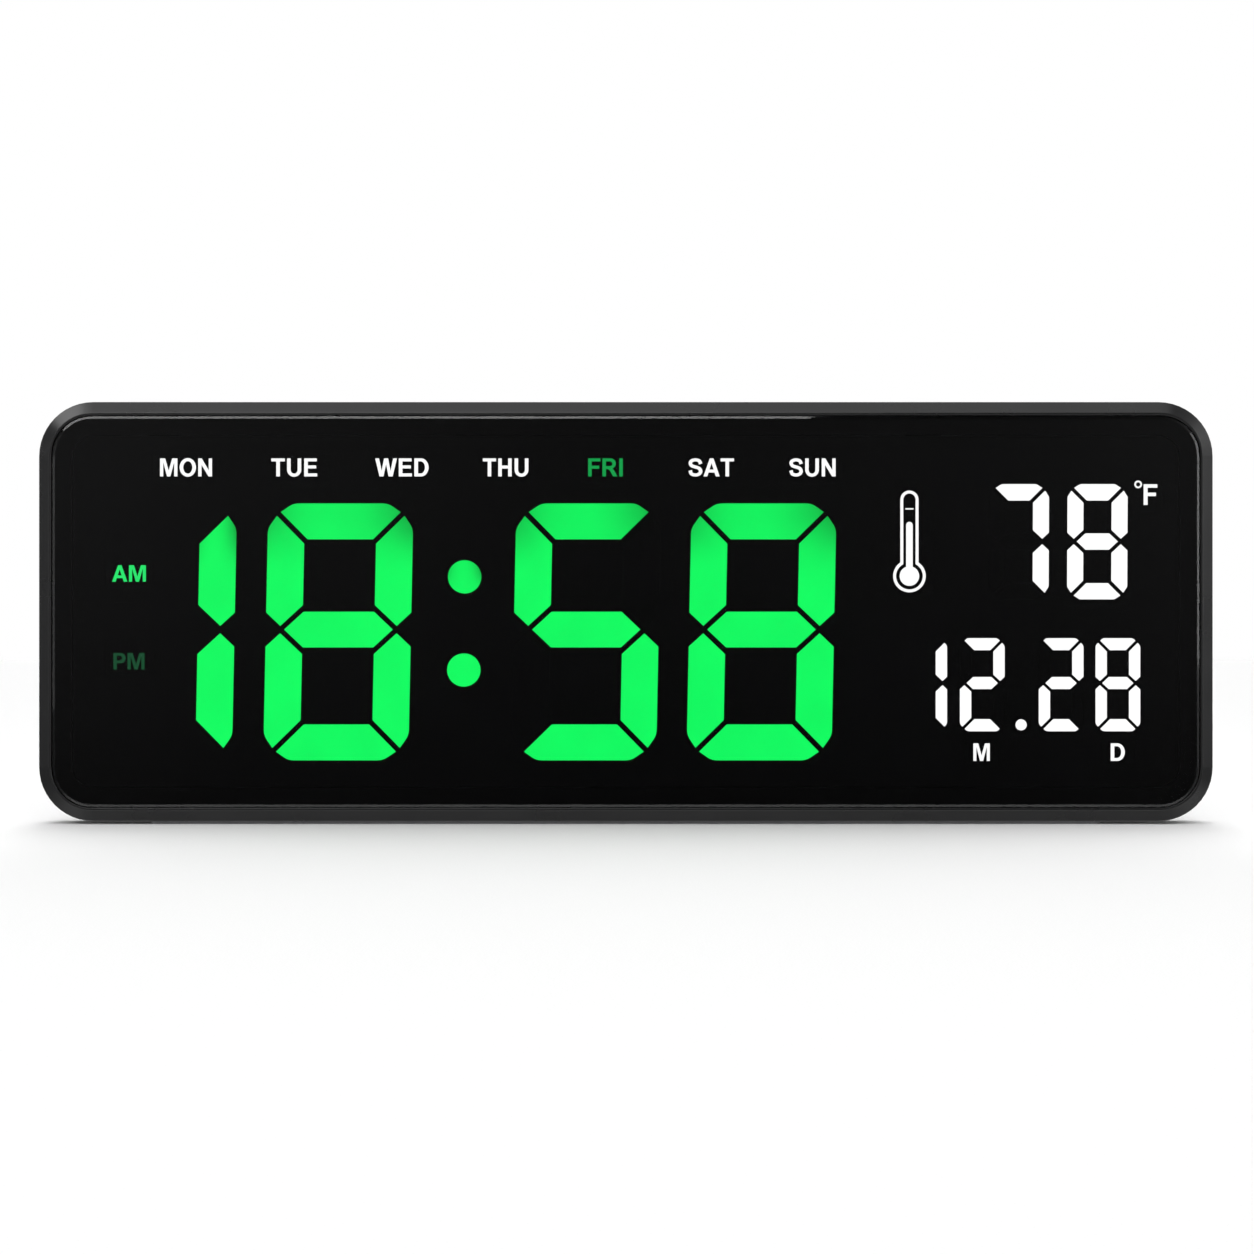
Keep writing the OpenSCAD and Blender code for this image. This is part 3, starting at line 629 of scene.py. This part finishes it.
# Letters in cap heights: width, gaps before and after, and loops, where a pair is a point
# and six numbers are an arc given as middle, half width, half height, first and last angle
GLYPHS = {
    "A": (
        0.885,
        (0.01, 0.01),
        [
            [
                (0, 0), (0.345, 1), (0.545, 1), (0.885, 0), (0.675, 0), (0.605, 0.215),
                (0.275, 0.215), (0.208, 0),
            ],
            [(0.327, 0.38), (0.44, 0.735), (0.552, 0.38)],
        ],
    ),
    "D": (
        0.76,
        (0.08, 0.045),
        [
            [(0, 0), (0, 1), (0.33, 1), (0.36, 0.5, 0.4, 0.5, 90, -90), (0.33, 0)],
            [(STEM, 0.165), (STEM, 0.835), (0.34, 0.5, 0.225, 0.335, 90, -90)],
        ],
    ),
    "E": (
        0.7,
        (0.08, 0.05),
        [
            [
                (0, 0), (0, 1), (0.68, 1), (0.68, 0.832), (STEM, 0.832), (STEM, 0.61),
                (0.645, 0.61), (0.645, 0.443), (STEM, 0.443), (STEM, BAR), (0.7, BAR), (0.7, 0),
            ]
        ],
    ),
    "F": (
        0.67,
        (0.08, 0.03),
        [
            [
                (0, 0), (0, 1), (0.67, 1), (0.67, 0.832), (STEM, 0.832), (STEM, 0.595),
                (0.605, 0.595), (0.605, 0.427), (STEM, 0.427), (STEM, 0),
            ]
        ],
    ),
    "H": (
        0.74,
        (0.08, 0.08),
        [
            [
                (0, 0), (0, 1), (STEM, 1), (STEM, 0.605), (0.545, 0.605), (0.545, 1), (0.74, 1),
                (0.74, 0), (0.545, 0), (0.545, 0.435), (STEM, 0.435), (STEM, 0),
            ]
        ],
    ),
    "I": (STEM, (0.08, 0.08), [[(0, 0), (0, 1), (STEM, 1), (STEM, 0)]]),
    "M": (
        0.976,
        (0.08, 0.08),
        [
            [
                (0, 0), (0, 1), (0.29, 1), (0.488, 0.32), (0.686, 1), (0.976, 1), (0.976, 0),
                (0.795, 0), (0.795, 0.79), (0.58, 0), (0.396, 0), (0.181, 0.79), (0.181, 0),
            ]
        ],
    ),
    "N": (
        0.775,
        (0.08, 0.08),
        [
            [
                (0, 0), (0, 1), (STEM, 1), (0.59, 0.345), (0.59, 1), (0.775, 1), (0.775, 0),
                (0.577, 0), (0.185, 0.64), (0.185, 0),
            ]
        ],
    ),
    "O": (
        0.92,
        (0.045, 0.045),
        [[(0.46, 0.5, 0.46, 0.517, 0, FULL_RING)], [(0.46, 0.5, 0.255, 0.345, 0, FULL_RING)]],
    ),
    "P": (
        0.7,
        (0.08, 0.03),
        [
            [(0, 0), (0, 1), (0.4, 0.69, 0.3, 0.31, 90, -90), (STEM, 0.38), (STEM, 0)],
            [(STEM, 0.835), (0.38, 0.69, 0.115, 0.145, 90, -90), (STEM, 0.545)],
        ],
    ),
    "R": (
        0.82,
        (0.08, 0.02),
        [
            [
                (0, 0), (0, 1), (0.45, 0.715, 0.285, 0.285, 90, -70), (0.635, 0.34), (0.82, 0),
                (0.585, 0), (0.435, 0.28), (0.365, 0.375), (0.285, 0.405), (STEM, 0.405), (STEM, 0),
            ],
            [(STEM, 0.835), (0.43, 0.705, 0.115, 0.13, 90, -90), (STEM, 0.575)],
        ],
    ),
    "T": (
        0.73,
        (0.04, 0.04),
        [
            [
                (0.2675, 0), (0.2675, 0.832), (0, 0.832), (0, 1), (0.73, 1), (0.73, 0.832),
                (0.4625, 0.832), (0.4625, 0),
            ]
        ],
    ),
    "U": (
        0.765,
        (0.08, 0.08),
        [
            [
                (0, 1), (0.3825, 0.37, 0.3825, 0.387, 180, 360), (0.765, 1), (0.57, 1),
                (0.3825, 0.36, 0.1875, 0.205, 360, 180), (STEM, 1),
            ]
        ],
    ),
    "W": (
        1.16,
        (0.02, 0.02),
        [
            [
                (0, 1), (0.205, 1), (0.345, 0.315), (0.475, 1), (0.69, 1), (0.82, 0.3), (0.957, 1),
                (1.16, 1), (0.93, 0), (0.715, 0), (0.58, 0.69), (0.445, 0), (0.23, 0),
            ]
        ],
    ),
}
# The S is a stroke along this line, from its upper end to its lower end
S_LINE = [
    (0.665, 0.69), (0.6, 0.855), (0.385, 0.92), (0.17, 0.855), (0.11, 0.725), (0.19, 0.59),
    (0.39, 0.52), (0.595, 0.44), (0.668, 0.285), (0.59, 0.14), (0.39, 0.078), (0.17, 0.14),
    (0.1, 0.33),
]
S_WIDTH = 0.77
S_GAPS = (0.045, 0.045)


def outline(items):
    """Points of a loop of points and arcs."""
    points = []
    for item in items:
        if len(item) == 2:
            points.append(item)
            continue
        x, y, half_w, half_h, first, last = item
        count = max(2, round(abs(last - first) / ARC_STEP))
        for i in range(count + 1):
            angle = math.radians(first + (last - first) * i / count)
            points.append((x + half_w * math.cos(angle), y + half_h * math.sin(angle)))
    return points


def smooth_line(points, steps=6):
    """A smooth line through points."""
    line = []
    for i in range(len(points) - 1):
        a, b, c, d = (Vector(points[min(max(j, 0), len(points) - 1)]) for j in range(i - 1, i + 3))
        for k in range(steps):
            t = k / steps
            line.append(
                0.5
                * (
                    2 * b
                    + (c - a) * t
                    + (2 * a - 5 * b + 4 * c - d) * t**2
                    + (3 * b - a - 3 * c + d) * t**3
                )
            )
    return [*line, Vector(points[-1])]


def stroke(points, across, upright):
    """Loop around a line: across is the width of level stretches and upright of standing ones."""
    line = smooth_line(points)
    left, right = [], []
    for i, p in enumerate(line):
        run = (line[min(i + 1, len(line) - 1)] - line[max(i - 1, 0)]).normalized()
        half = (across * abs(run.x) + upright * abs(run.y)) / (abs(run.x) + abs(run.y)) / 2
        side = Vector((-run.y, run.x)) * half
        left.append(tuple(p + side))
        right.append(tuple(p - side))
    return left + right[::-1]


def glyph(letter):
    """Width, side gaps and loops of a letter."""
    if letter == "S":
        return S_WIDTH, S_GAPS, [stroke(S_LINE, BAR, STEM)]
    width, gaps, loops = GLYPHS[letter]
    return width, gaps, [outline(loop) for loop in loops]


def word_loops(text, middle, foot, cap, width):
    """Loops of a word in metres, of the given cap height and width."""
    loops, at = [], 0.0
    for i, letter in enumerate(text):
        wide, (before, after), shapes = glyph(letter)
        at += before if i else 0
        loops += [[(at + x, y) for x, y in shape] for shape in shapes]
        at += wide
        at += after if i < len(text) - 1 else 0
    across = width / at
    return [[(middle + (x - at / 2) * across, foot + y * cap) for x, y in loop] for loop in loops]


def plate(name, loops, front, depth, made):
    """A thin plate with the loops as its outline, lying on a film whose face is at front."""
    curve = bpy.data.curves.new(name, "CURVE")
    curve.dimensions = "2D"
    curve.fill_mode = "BOTH"
    curve.extrude = depth / 2
    for loop in loops:
        spline = curve.splines.new("POLY")
        spline.points.add(len(loop) - 1)
        for point, (x, z) in zip(spline.points, loop):
            point.co = (x, z, 0, 1)
        spline.use_cyclic_u = True
    maker = bpy.data.objects.new(name + "_curve", curve)
    bpy.context.scene.collection.objects.link(maker)
    bpy.context.view_layer.update()
    filled = maker.evaluated_get(bpy.context.evaluated_depsgraph_get())
    mesh = bpy.data.meshes.new_from_object(filled)
    bpy.data.objects.remove(maker)
    mesh.name = name
    mesh.transform(Matrix.Translation((0, front, 0)) @ Matrix.Rotation(math.pi / 2, 4, "X"))
    work = bmesh.new()
    work.from_mesh(mesh)
    # The faces and the sides come apart, so points that share a place are welded
    bmesh.ops.remove_doubles(work, verts=work.verts, dist=depth / 20)
    bmesh.ops.recalc_face_normals(work, faces=work.faces)
    work.to_mesh(mesh)
    work.free()
    mesh.materials.append(made)
    piece = bpy.data.objects.new(name, mesh)
    bpy.context.scene.collection.objects.link(piece)
    # Like the bars, the windows shine to the front only
    piece.visible_diffuse = False
    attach(piece, CASE_BODY)


def film_front(node):
    """Face of a film, seen from the front."""
    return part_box(node)[0].y


def above_foot(millimetres):
    """Height of a point given above the case's underside."""
    return CASE_FOOT + millimetres * MM


# Brightness of the print's windows seen through the lens
FILM_GLOW = 1.0

# Weekday words: text, middle and width in millimetres, over one foot line
WEEKDAYS = [
    ("MON", -157.3, 18.6),
    ("TUE", -118.6, 16.4),
    ("WED", -80.1, 19.1),
    ("THU", -43.0, 16.3),
    ("FRI", -7.3, 12.4),
    ("SAT", 30.5, 16.3),
    ("SUN", 66.7, 16.6),
]
WEEKDAY_FOOT = 123.35
LIT_DAY = "FRI"


class CLOCK_OT_weekdays(Operator):
    """Weekday words on their films."""

    bl_idname = "clock.weekdays"
    bl_label = "Weekday words"

    def execute(self, context):
        colours = context.scene.clock_colours
        sizes = context.scene.clock_sizes
        # Clear windows in the print let the light through as crisp letters
        white = lit_diffuser("Film window lit white", colours.white, FILM_GLOW / LENS_PASS)
        green = lit_diffuser("Film window lit green", colours.weekday, FILM_GLOW / LENS_PASS)
        front = film_front("weekday_films")
        foot = above_foot(WEEKDAY_FOOT)
        for word, middle, width in WEEKDAYS:
            loops = word_loops(word, middle * MM, foot, sizes.weekday_cap, width * MM)
            lit = word == LIT_DAY
            plate(
                "weekday_" + word.lower(),
                loops,
                front,
                sizes.print_depth,
                green if lit else white,
            )
        return {"FINISHED"}


# Words and letters: name, text, middle and foot in millimetres, letter height, width, light, slot
SIGNS = [
    ("half_day_am", "AM", -177.7, 85.7, "half_day_cap", 12.1, "morning", "bar_green"),
    ("half_day_pm", "PM", -177.7, 54.3, "half_day_cap", 11.1, "evening", "bar_green"),
    ("month_letter", "M", 127.2, 21.6, "date_cap", 5.9, "white", "bar_white"),
    ("day_letter", "D", 175.9, 21.6, "date_cap", 5.05, "white", "bar_white"),
    ("degree_letter", "F", 187.6, 113.15, "degree_cap", 4.9, "white", "bar_white"),
]
# Degree ring: middle, outer and inner radius in millimetres
DEGREE_AT = (183.2, 120.5)
DEGREE_OUTER = 1.38
DEGREE_INNER = 0.76


class CLOCK_OT_signs(Operator):
    """Half day words, date letters and the degree sign on their films."""

    bl_idname = "clock.signs"
    bl_label = "Half day, date and degree signs"

    def execute(self, context):
        colours = context.scene.clock_colours
        sizes = context.scene.clock_sizes
        # The lit half of the day glows brightly, and the other half only faintly
        lights = {
            "white": bpy.data.materials["Film window lit white"],
            "morning": lit_diffuser(
                "Film window lit bright green", colours.morning, FILM_GLOW / LENS_PASS
            ),
            "evening": lit_diffuser(
                "Film window lit dim green", colours.evening, FILM_GLOW / LENS_PASS
            ),
        }
        front = film_front("indicator_films")
        for name, text, x, foot, cap, width, light, slot in SIGNS:
            loops = word_loops(text, x * MM, above_foot(foot), getattr(sizes, cap), width * MM)
            plate(name, loops, front, sizes.print_depth, lights[light])
        x, z = DEGREE_AT[0] * MM, above_foot(DEGREE_AT[1])
        ring = [
            outline([(x, z, r * MM, r * MM, 0, FULL_RING)]) for r in (DEGREE_OUTER, DEGREE_INNER)
        ]
        plate("degree_ring", ring, front, sizes.print_depth, lights["white"])
        return {"FINISHED"}


# Thermometer in millimetres: places, radii, width of its line, and height, width and thickness
# of its mark
GAUGE_X = 101.4
GAUGE_TOP = 118.3
GAUGE_BULB_Z = 87.72
GAUGE_BULB_R = 5.84
GAUGE_TUBE_R = 3.25
GAUGE_LINE = 1.05
GAUGE_DISC_R = 3.5
GAUGE_COLUMN_R = 1.18
GAUGE_COLUMN_TOP = 107.1
GAUGE_MARK = (111.75, 2.9, 0.48)


def bulb_loop(bulb, tube, top):
    """Loop round a bulb and the tube above it, in millimetres from the bulb's middle."""
    turn = math.degrees(math.acos(tube / bulb))
    last = turn - 360 + 2 * (90 - turn)
    return outline([(0, 0, bulb, bulb, turn, last), (0, top, tube, tube, 180, 0)])


class CLOCK_OT_gauge(Operator):
    """Thermometer sign on its film."""

    bl_idname = "clock.gauge"
    bl_label = "Thermometer sign"

    def execute(self, context):
        depth = context.scene.clock_sizes.print_depth
        white = bpy.data.materials["Film window lit white"]
        front = film_front("indicator_films")
        tube_top = GAUGE_TOP - GAUGE_TUBE_R - GAUGE_BULB_Z
        rim = [bulb_loop(GAUGE_BULB_R - d, GAUGE_TUBE_R - d, tube_top) for d in (0, GAUGE_LINE)]
        column_top = GAUGE_COLUMN_TOP - GAUGE_COLUMN_R - GAUGE_BULB_Z
        column = [bulb_loop(GAUGE_DISC_R, GAUGE_COLUMN_R, column_top)]
        z, w, h = GAUGE_MARK
        z -= GAUGE_BULB_Z
        mark = [[(-w / 2, z - h / 2), (w / 2, z - h / 2), (w / 2, z + h / 2), (-w / 2, z + h / 2)]]
        for name, loops in [("gauge_outline", rim), ("gauge_column", column), ("gauge_mark", mark)]:
            placed = [
                [((GAUGE_X + x) * MM, above_foot(GAUGE_BULB_Z + z)) for x, z in loop]
                for loop in loops
            ]
            plate(name, placed, front, depth, white)
        return {"FINISHED"}


# Softboxes in metres: name, middle, the point that it faces, width and height, brightness
HIGHLIGHTS = [
    ("overhead", (0.1, -0.1, 1.6), (0.1, -0.02, 0.15), (1.3, 0.9), 0.97),
    ("upper_left", (-1.05, -0.106, 1.372), (-0.19, -0.012, 0.14), (0.9, 0.94), 2.6),
    ("right_fill", (1.6, -0.2, 0.6), (0.2, -0.012, 0.08), (0.9, 1.1), 0.44),
    ("front_top", (-0.6, -0.71, 1.08), (-0.6, -0.012, 0.14), (1.46, 0.4), 5.0),
    ("front_right", (1.33, -0.68, 0.42), (0.2, -0.012, 0.1), (0.5, 0.78), 2.6),
    ("front_left", (-1.33, -0.68, 0.11), (-0.2, -0.012, 0.09), (0.5, 0.2), 0.75),
    ("rear_top", (0.3, 1.3, 0.9), (0.0, 0.014, 0.08), (1.4, 0.5), 1.5),
]
FLOOR_FILLS = [
    ("end_left", (-0.285, -0.105, 0.09), (-0.215, -0.09, 0.0), (0.1, 0.1), 1.43),
    ("end_right", (0.285, -0.105, 0.09), (0.215, -0.09, 0.0), (0.1, 0.1), 1.43),
]
# Brightness of the mirrored room from its left end, 0, to its right end, 1; the ends come first
ROOM_TONES = [
    (0.0, 0.26),
    (1.0, 0.15),
    (0.12, 0.3),
    (0.2, 0.95),
    (0.3, 0.8),
    (0.37, 0.3),
    (0.41, 0.113),
    (0.45, 0.075),
    (0.5, 0.05),
    (0.55, 0.06),
    (0.6, 0.105),
    (0.93, 1.1),
]
# Bands of the mirrored room: axis of the direction, its first and last value, tone at each
ROOM_BANDS = {
    "rise": ("Z", -0.06, 0.07, 0.4, 1.5),
    "ceiling": ("Z", 0.2, 0.5, 1.0, 0.3),
    "ground": ("Z", -0.2, -0.9, 0.0, 0.25),
    "near_floor": ("Y", -0.25, -0.45, 0.0, 1.2),
    "below": ("Z", -0.5, -0.7, 0.0, 1.0),
    "behind": ("Y", 0.2, 0.9, 0.0, 0.3),
    "rear_floor": ("Z", 0.1, -0.1, 0.5, 2.5),
}
# The dome's light gathers over the middle, and this share of it more comes from behind
DOME_FOCUS = 4.0
DOME_BACK = 0.25
WHITE = (1.0, 1.0, 1.0, 1.0)
# Half the width of the floor in metres
FLOOR_HALF = 6.0


def lay_floor(scene):
    """White paper that the clock stands on."""
    mesh = bpy.data.meshes.new("floor")
    work = bmesh.new()
    bmesh.ops.create_grid(work, x_segments=1, y_segments=1, size=FLOOR_HALF)
    work.to_mesh(mesh)
    work.free()
    # Matt white paper has no shine of its own
    paper = moulded(
        "Paper white matt",
        linear("#f4f4f4"),
        roughness=0.9,
        grain=0.5 * MM,
        relief=0.0,
        cloud=0.01,
    )
    mesh.materials.append(paper)
    floor = bpy.data.objects.new("floor", mesh)
    scene.collection.objects.link(floor)
    floor.visible_glossy = False


def dome_light(tree, way, strength):
    """A dome that is strongest over the middle and behind, so the shadow falls to the front."""
    aside = add(tree, "ShaderNodeMath", {"operation": "ABSOLUTE"}, {0: way.outputs["X"]})
    inward = add(tree, "ShaderNodeMath", {"operation": "SUBTRACT", 0: 1.0}, {1: aside.outputs[0]})
    focus = add(
        tree, "ShaderNodeMath", {"operation": "POWER", 1: DOME_FOCUS}, {0: inward.outputs[0]}
    )
    back = add(
        tree,
        "ShaderNodeMath",
        {"operation": "MULTIPLY_ADD", 1: DOME_BACK * strength, 2: strength},
        {0: way.outputs["Y"]},
    )
    glow = add(
        tree,
        "ShaderNodeMath",
        {"operation": "MULTIPLY"},
        {0: focus.outputs[0], 1: back.outputs[0]},
    )
    return add(tree, "ShaderNodeBackground", {"Color": WHITE}, {"Strength": glow.outputs[0]})


def mirrored_room(tree, way):
    """The dim room that shiny faces mirror, with bright walls aside and a pale floor."""
    across = add(tree, "ShaderNodeMapRange", {"From Min": -1.0}, {"Value": way.outputs["X"]})
    walls = add(tree, "ShaderNodeValToRGB", links={"Fac": across.outputs["Result"]})
    walls.color_ramp.interpolation = "EASE"
    # A new ramp already has its two end stops
    for i, (at, tone) in enumerate(ROOM_TONES):
        stop = walls.color_ramp.elements[i] if i < 2 else walls.color_ramp.elements.new(at)
        stop.position = at
        stop.color = (tone, tone, tone, 1)
    bands = {}
    for name, (axis, first, last, low, high) in ROOM_BANDS.items():
        band = add(
            tree,
            "ShaderNodeMapRange",
            {"From Min": first, "From Max": last, "To Min": low, "To Max": high},
            {"Value": way.outputs[axis]},
        )
        bands[name] = band.outputs["Result"]
    height = add(
        tree,
        "ShaderNodeMath",
        {"operation": "MULTIPLY"},
        {0: bands["rise"], 1: bands["ceiling"]},
    )
    level = add(
        tree,
        "ShaderNodeMath",
        {"operation": "MULTIPLY_ADD"},
        {0: walls.outputs["Color"], 1: height.outputs[0], 2: bands["ground"]},
    )
    lower = add(
        tree,
        "ShaderNodeMath",
        {"operation": "MULTIPLY_ADD"},
        {0: bands["near_floor"], 1: bands["below"], 2: level.outputs[0]},
    )
    tone = add(
        tree,
        "ShaderNodeMath",
        {"operation": "MULTIPLY_ADD"},
        {0: bands["behind"], 1: bands["rear_floor"], 2: lower.outputs[0]},
    )
    return add(tree, "ShaderNodeBackground", {"Color": WHITE}, {"Strength": tone.outputs[0]})


def light_room(scene, strength):
    """Plain white behind the clock, a room in shiny faces, and a dome that lights the rest."""
    world = bpy.data.worlds.new("studio")
    scene.world = world
    world.use_nodes = True
    world.cycles.sampling_method = "NONE"
    tree = world.node_tree
    tree.nodes.clear()
    ray = add(tree, "ShaderNodeLightPath")
    place = add(tree, "ShaderNodeTexCoord")
    way = add(tree, "ShaderNodeSeparateXYZ", links={0: place.outputs["Generated"]})
    dome = dome_light(tree, way, strength)
    room = mirrored_room(tree, way)
    plain = add(tree, "ShaderNodeBackground", {"Color": WHITE})
    lit = add(
        tree,
        "ShaderNodeMixShader",
        links={0: ray.outputs["Is Glossy Ray"], 1: dome.outputs[0], 2: room.outputs[0]},
    )
    seen = add(
        tree,
        "ShaderNodeMixShader",
        links={0: ray.outputs["Is Camera Ray"], 1: lit.outputs[0], 2: plain.outputs[0]},
    )
    add(tree, "ShaderNodeOutputWorld", links={"Surface": seen.outputs[0]})


def hang_lamps(scene, boxes, strength, mirrored):
    """Softboxes that are only mirrored in shiny faces, or that only light matt ones."""
    for name, place, target, (wide, high), bright in boxes:
        lamp = bpy.data.lights.new(name, "AREA")
        lamp.shape = "RECTANGLE"
        lamp.size, lamp.size_y = wide, high
        lamp.energy = bright * strength * math.pi * wide * high
        box = bpy.data.objects.new(name, lamp)
        box.location = place
        facing = Vector(target) - Vector(place)
        box.rotation_euler = facing.to_track_quat("-Z", "Y").to_euler()
        box.visible_camera = False
        box.visible_diffuse = not mirrored
        box.visible_glossy = mirrored
        scene.collection.objects.link(box)


def set_camera(scene, studio):
    """A level camera in front of the display."""
    lens = bpy.data.cameras.new("camera")
    lens.lens = lens.sensor_width * studio.distance / studio.view
    camera = bpy.data.objects.new("camera", lens)
    display = film_front("weekday_films")
    camera.location = (studio.aside, display - studio.distance, studio.height)
    camera.rotation_euler = (math.pi / 2, 0, 0)
    scene.collection.objects.link(camera)
    scene.camera = camera


class CLOCK_OT_stage(Operator):
    """Pale floor, studio light and the camera."""

    bl_idname = "clock.stage"
    bl_label = "Stage and camera"

    def execute(self, context):
        scene = context.scene
        studio = scene.clock_studio
        scene.view_settings.view_transform = "Standard"
        lay_floor(scene)
        light_room(scene, studio.dome)
        hang_lamps(scene, HIGHLIGHTS, studio.lamps, mirrored=True)
        hang_lamps(scene, FLOOR_FILLS, studio.lamps, mirrored=False)
        set_camera(scene, studio)
        return {"FINISHED"}


STEPS = ["case", "display", "inside", "weekdays", "signs", "gauge", "stage"]


class CLOCK_PT_panel(Panel):
    """Lists the clock's steps, sizes and colours."""

    bl_idname = "CLOCK_PT_panel"
    bl_label = "Wide LED clock"
    bl_space_type = "VIEW_3D"
    bl_region_type = "UI"
    bl_category = "Clock"

    def draw(self, context):
        for step in STEPS:
            self.layout.operator("clock." + step)
        scene = context.scene
        for group in (scene.clock_colours, scene.clock_sizes, scene.clock_studio):
            box = self.layout.box()
            for name in group.bl_rna.properties.keys():
                if name not in ("rna_type", "name"):
                    box.prop(group, name)


CLASSES = [
    ClockColours,
    ClockSizes,
    ClockStudio,
    CLOCK_OT_case,
    CLOCK_OT_display,
    CLOCK_OT_inside,
    CLOCK_OT_weekdays,
    CLOCK_OT_signs,
    CLOCK_OT_gauge,
    CLOCK_OT_stage,
    CLOCK_PT_panel,
]


def register():
    for made in CLASSES:
        bpy.utils.register_class(made)
    bpy.types.Scene.clock_colours = PointerProperty(type=ClockColours)
    bpy.types.Scene.clock_sizes = PointerProperty(type=ClockSizes)
    bpy.types.Scene.clock_studio = PointerProperty(type=ClockStudio)


def unregister():
    del bpy.types.Scene.clock_studio
    del bpy.types.Scene.clock_sizes
    del bpy.types.Scene.clock_colours
    for made in reversed(CLASSES):
        bpy.utils.unregister_class(made)


def main():
    register()
    for step in STEPS:
        getattr(bpy.ops.clock, step)()


if __name__ == "__main__":
    main()
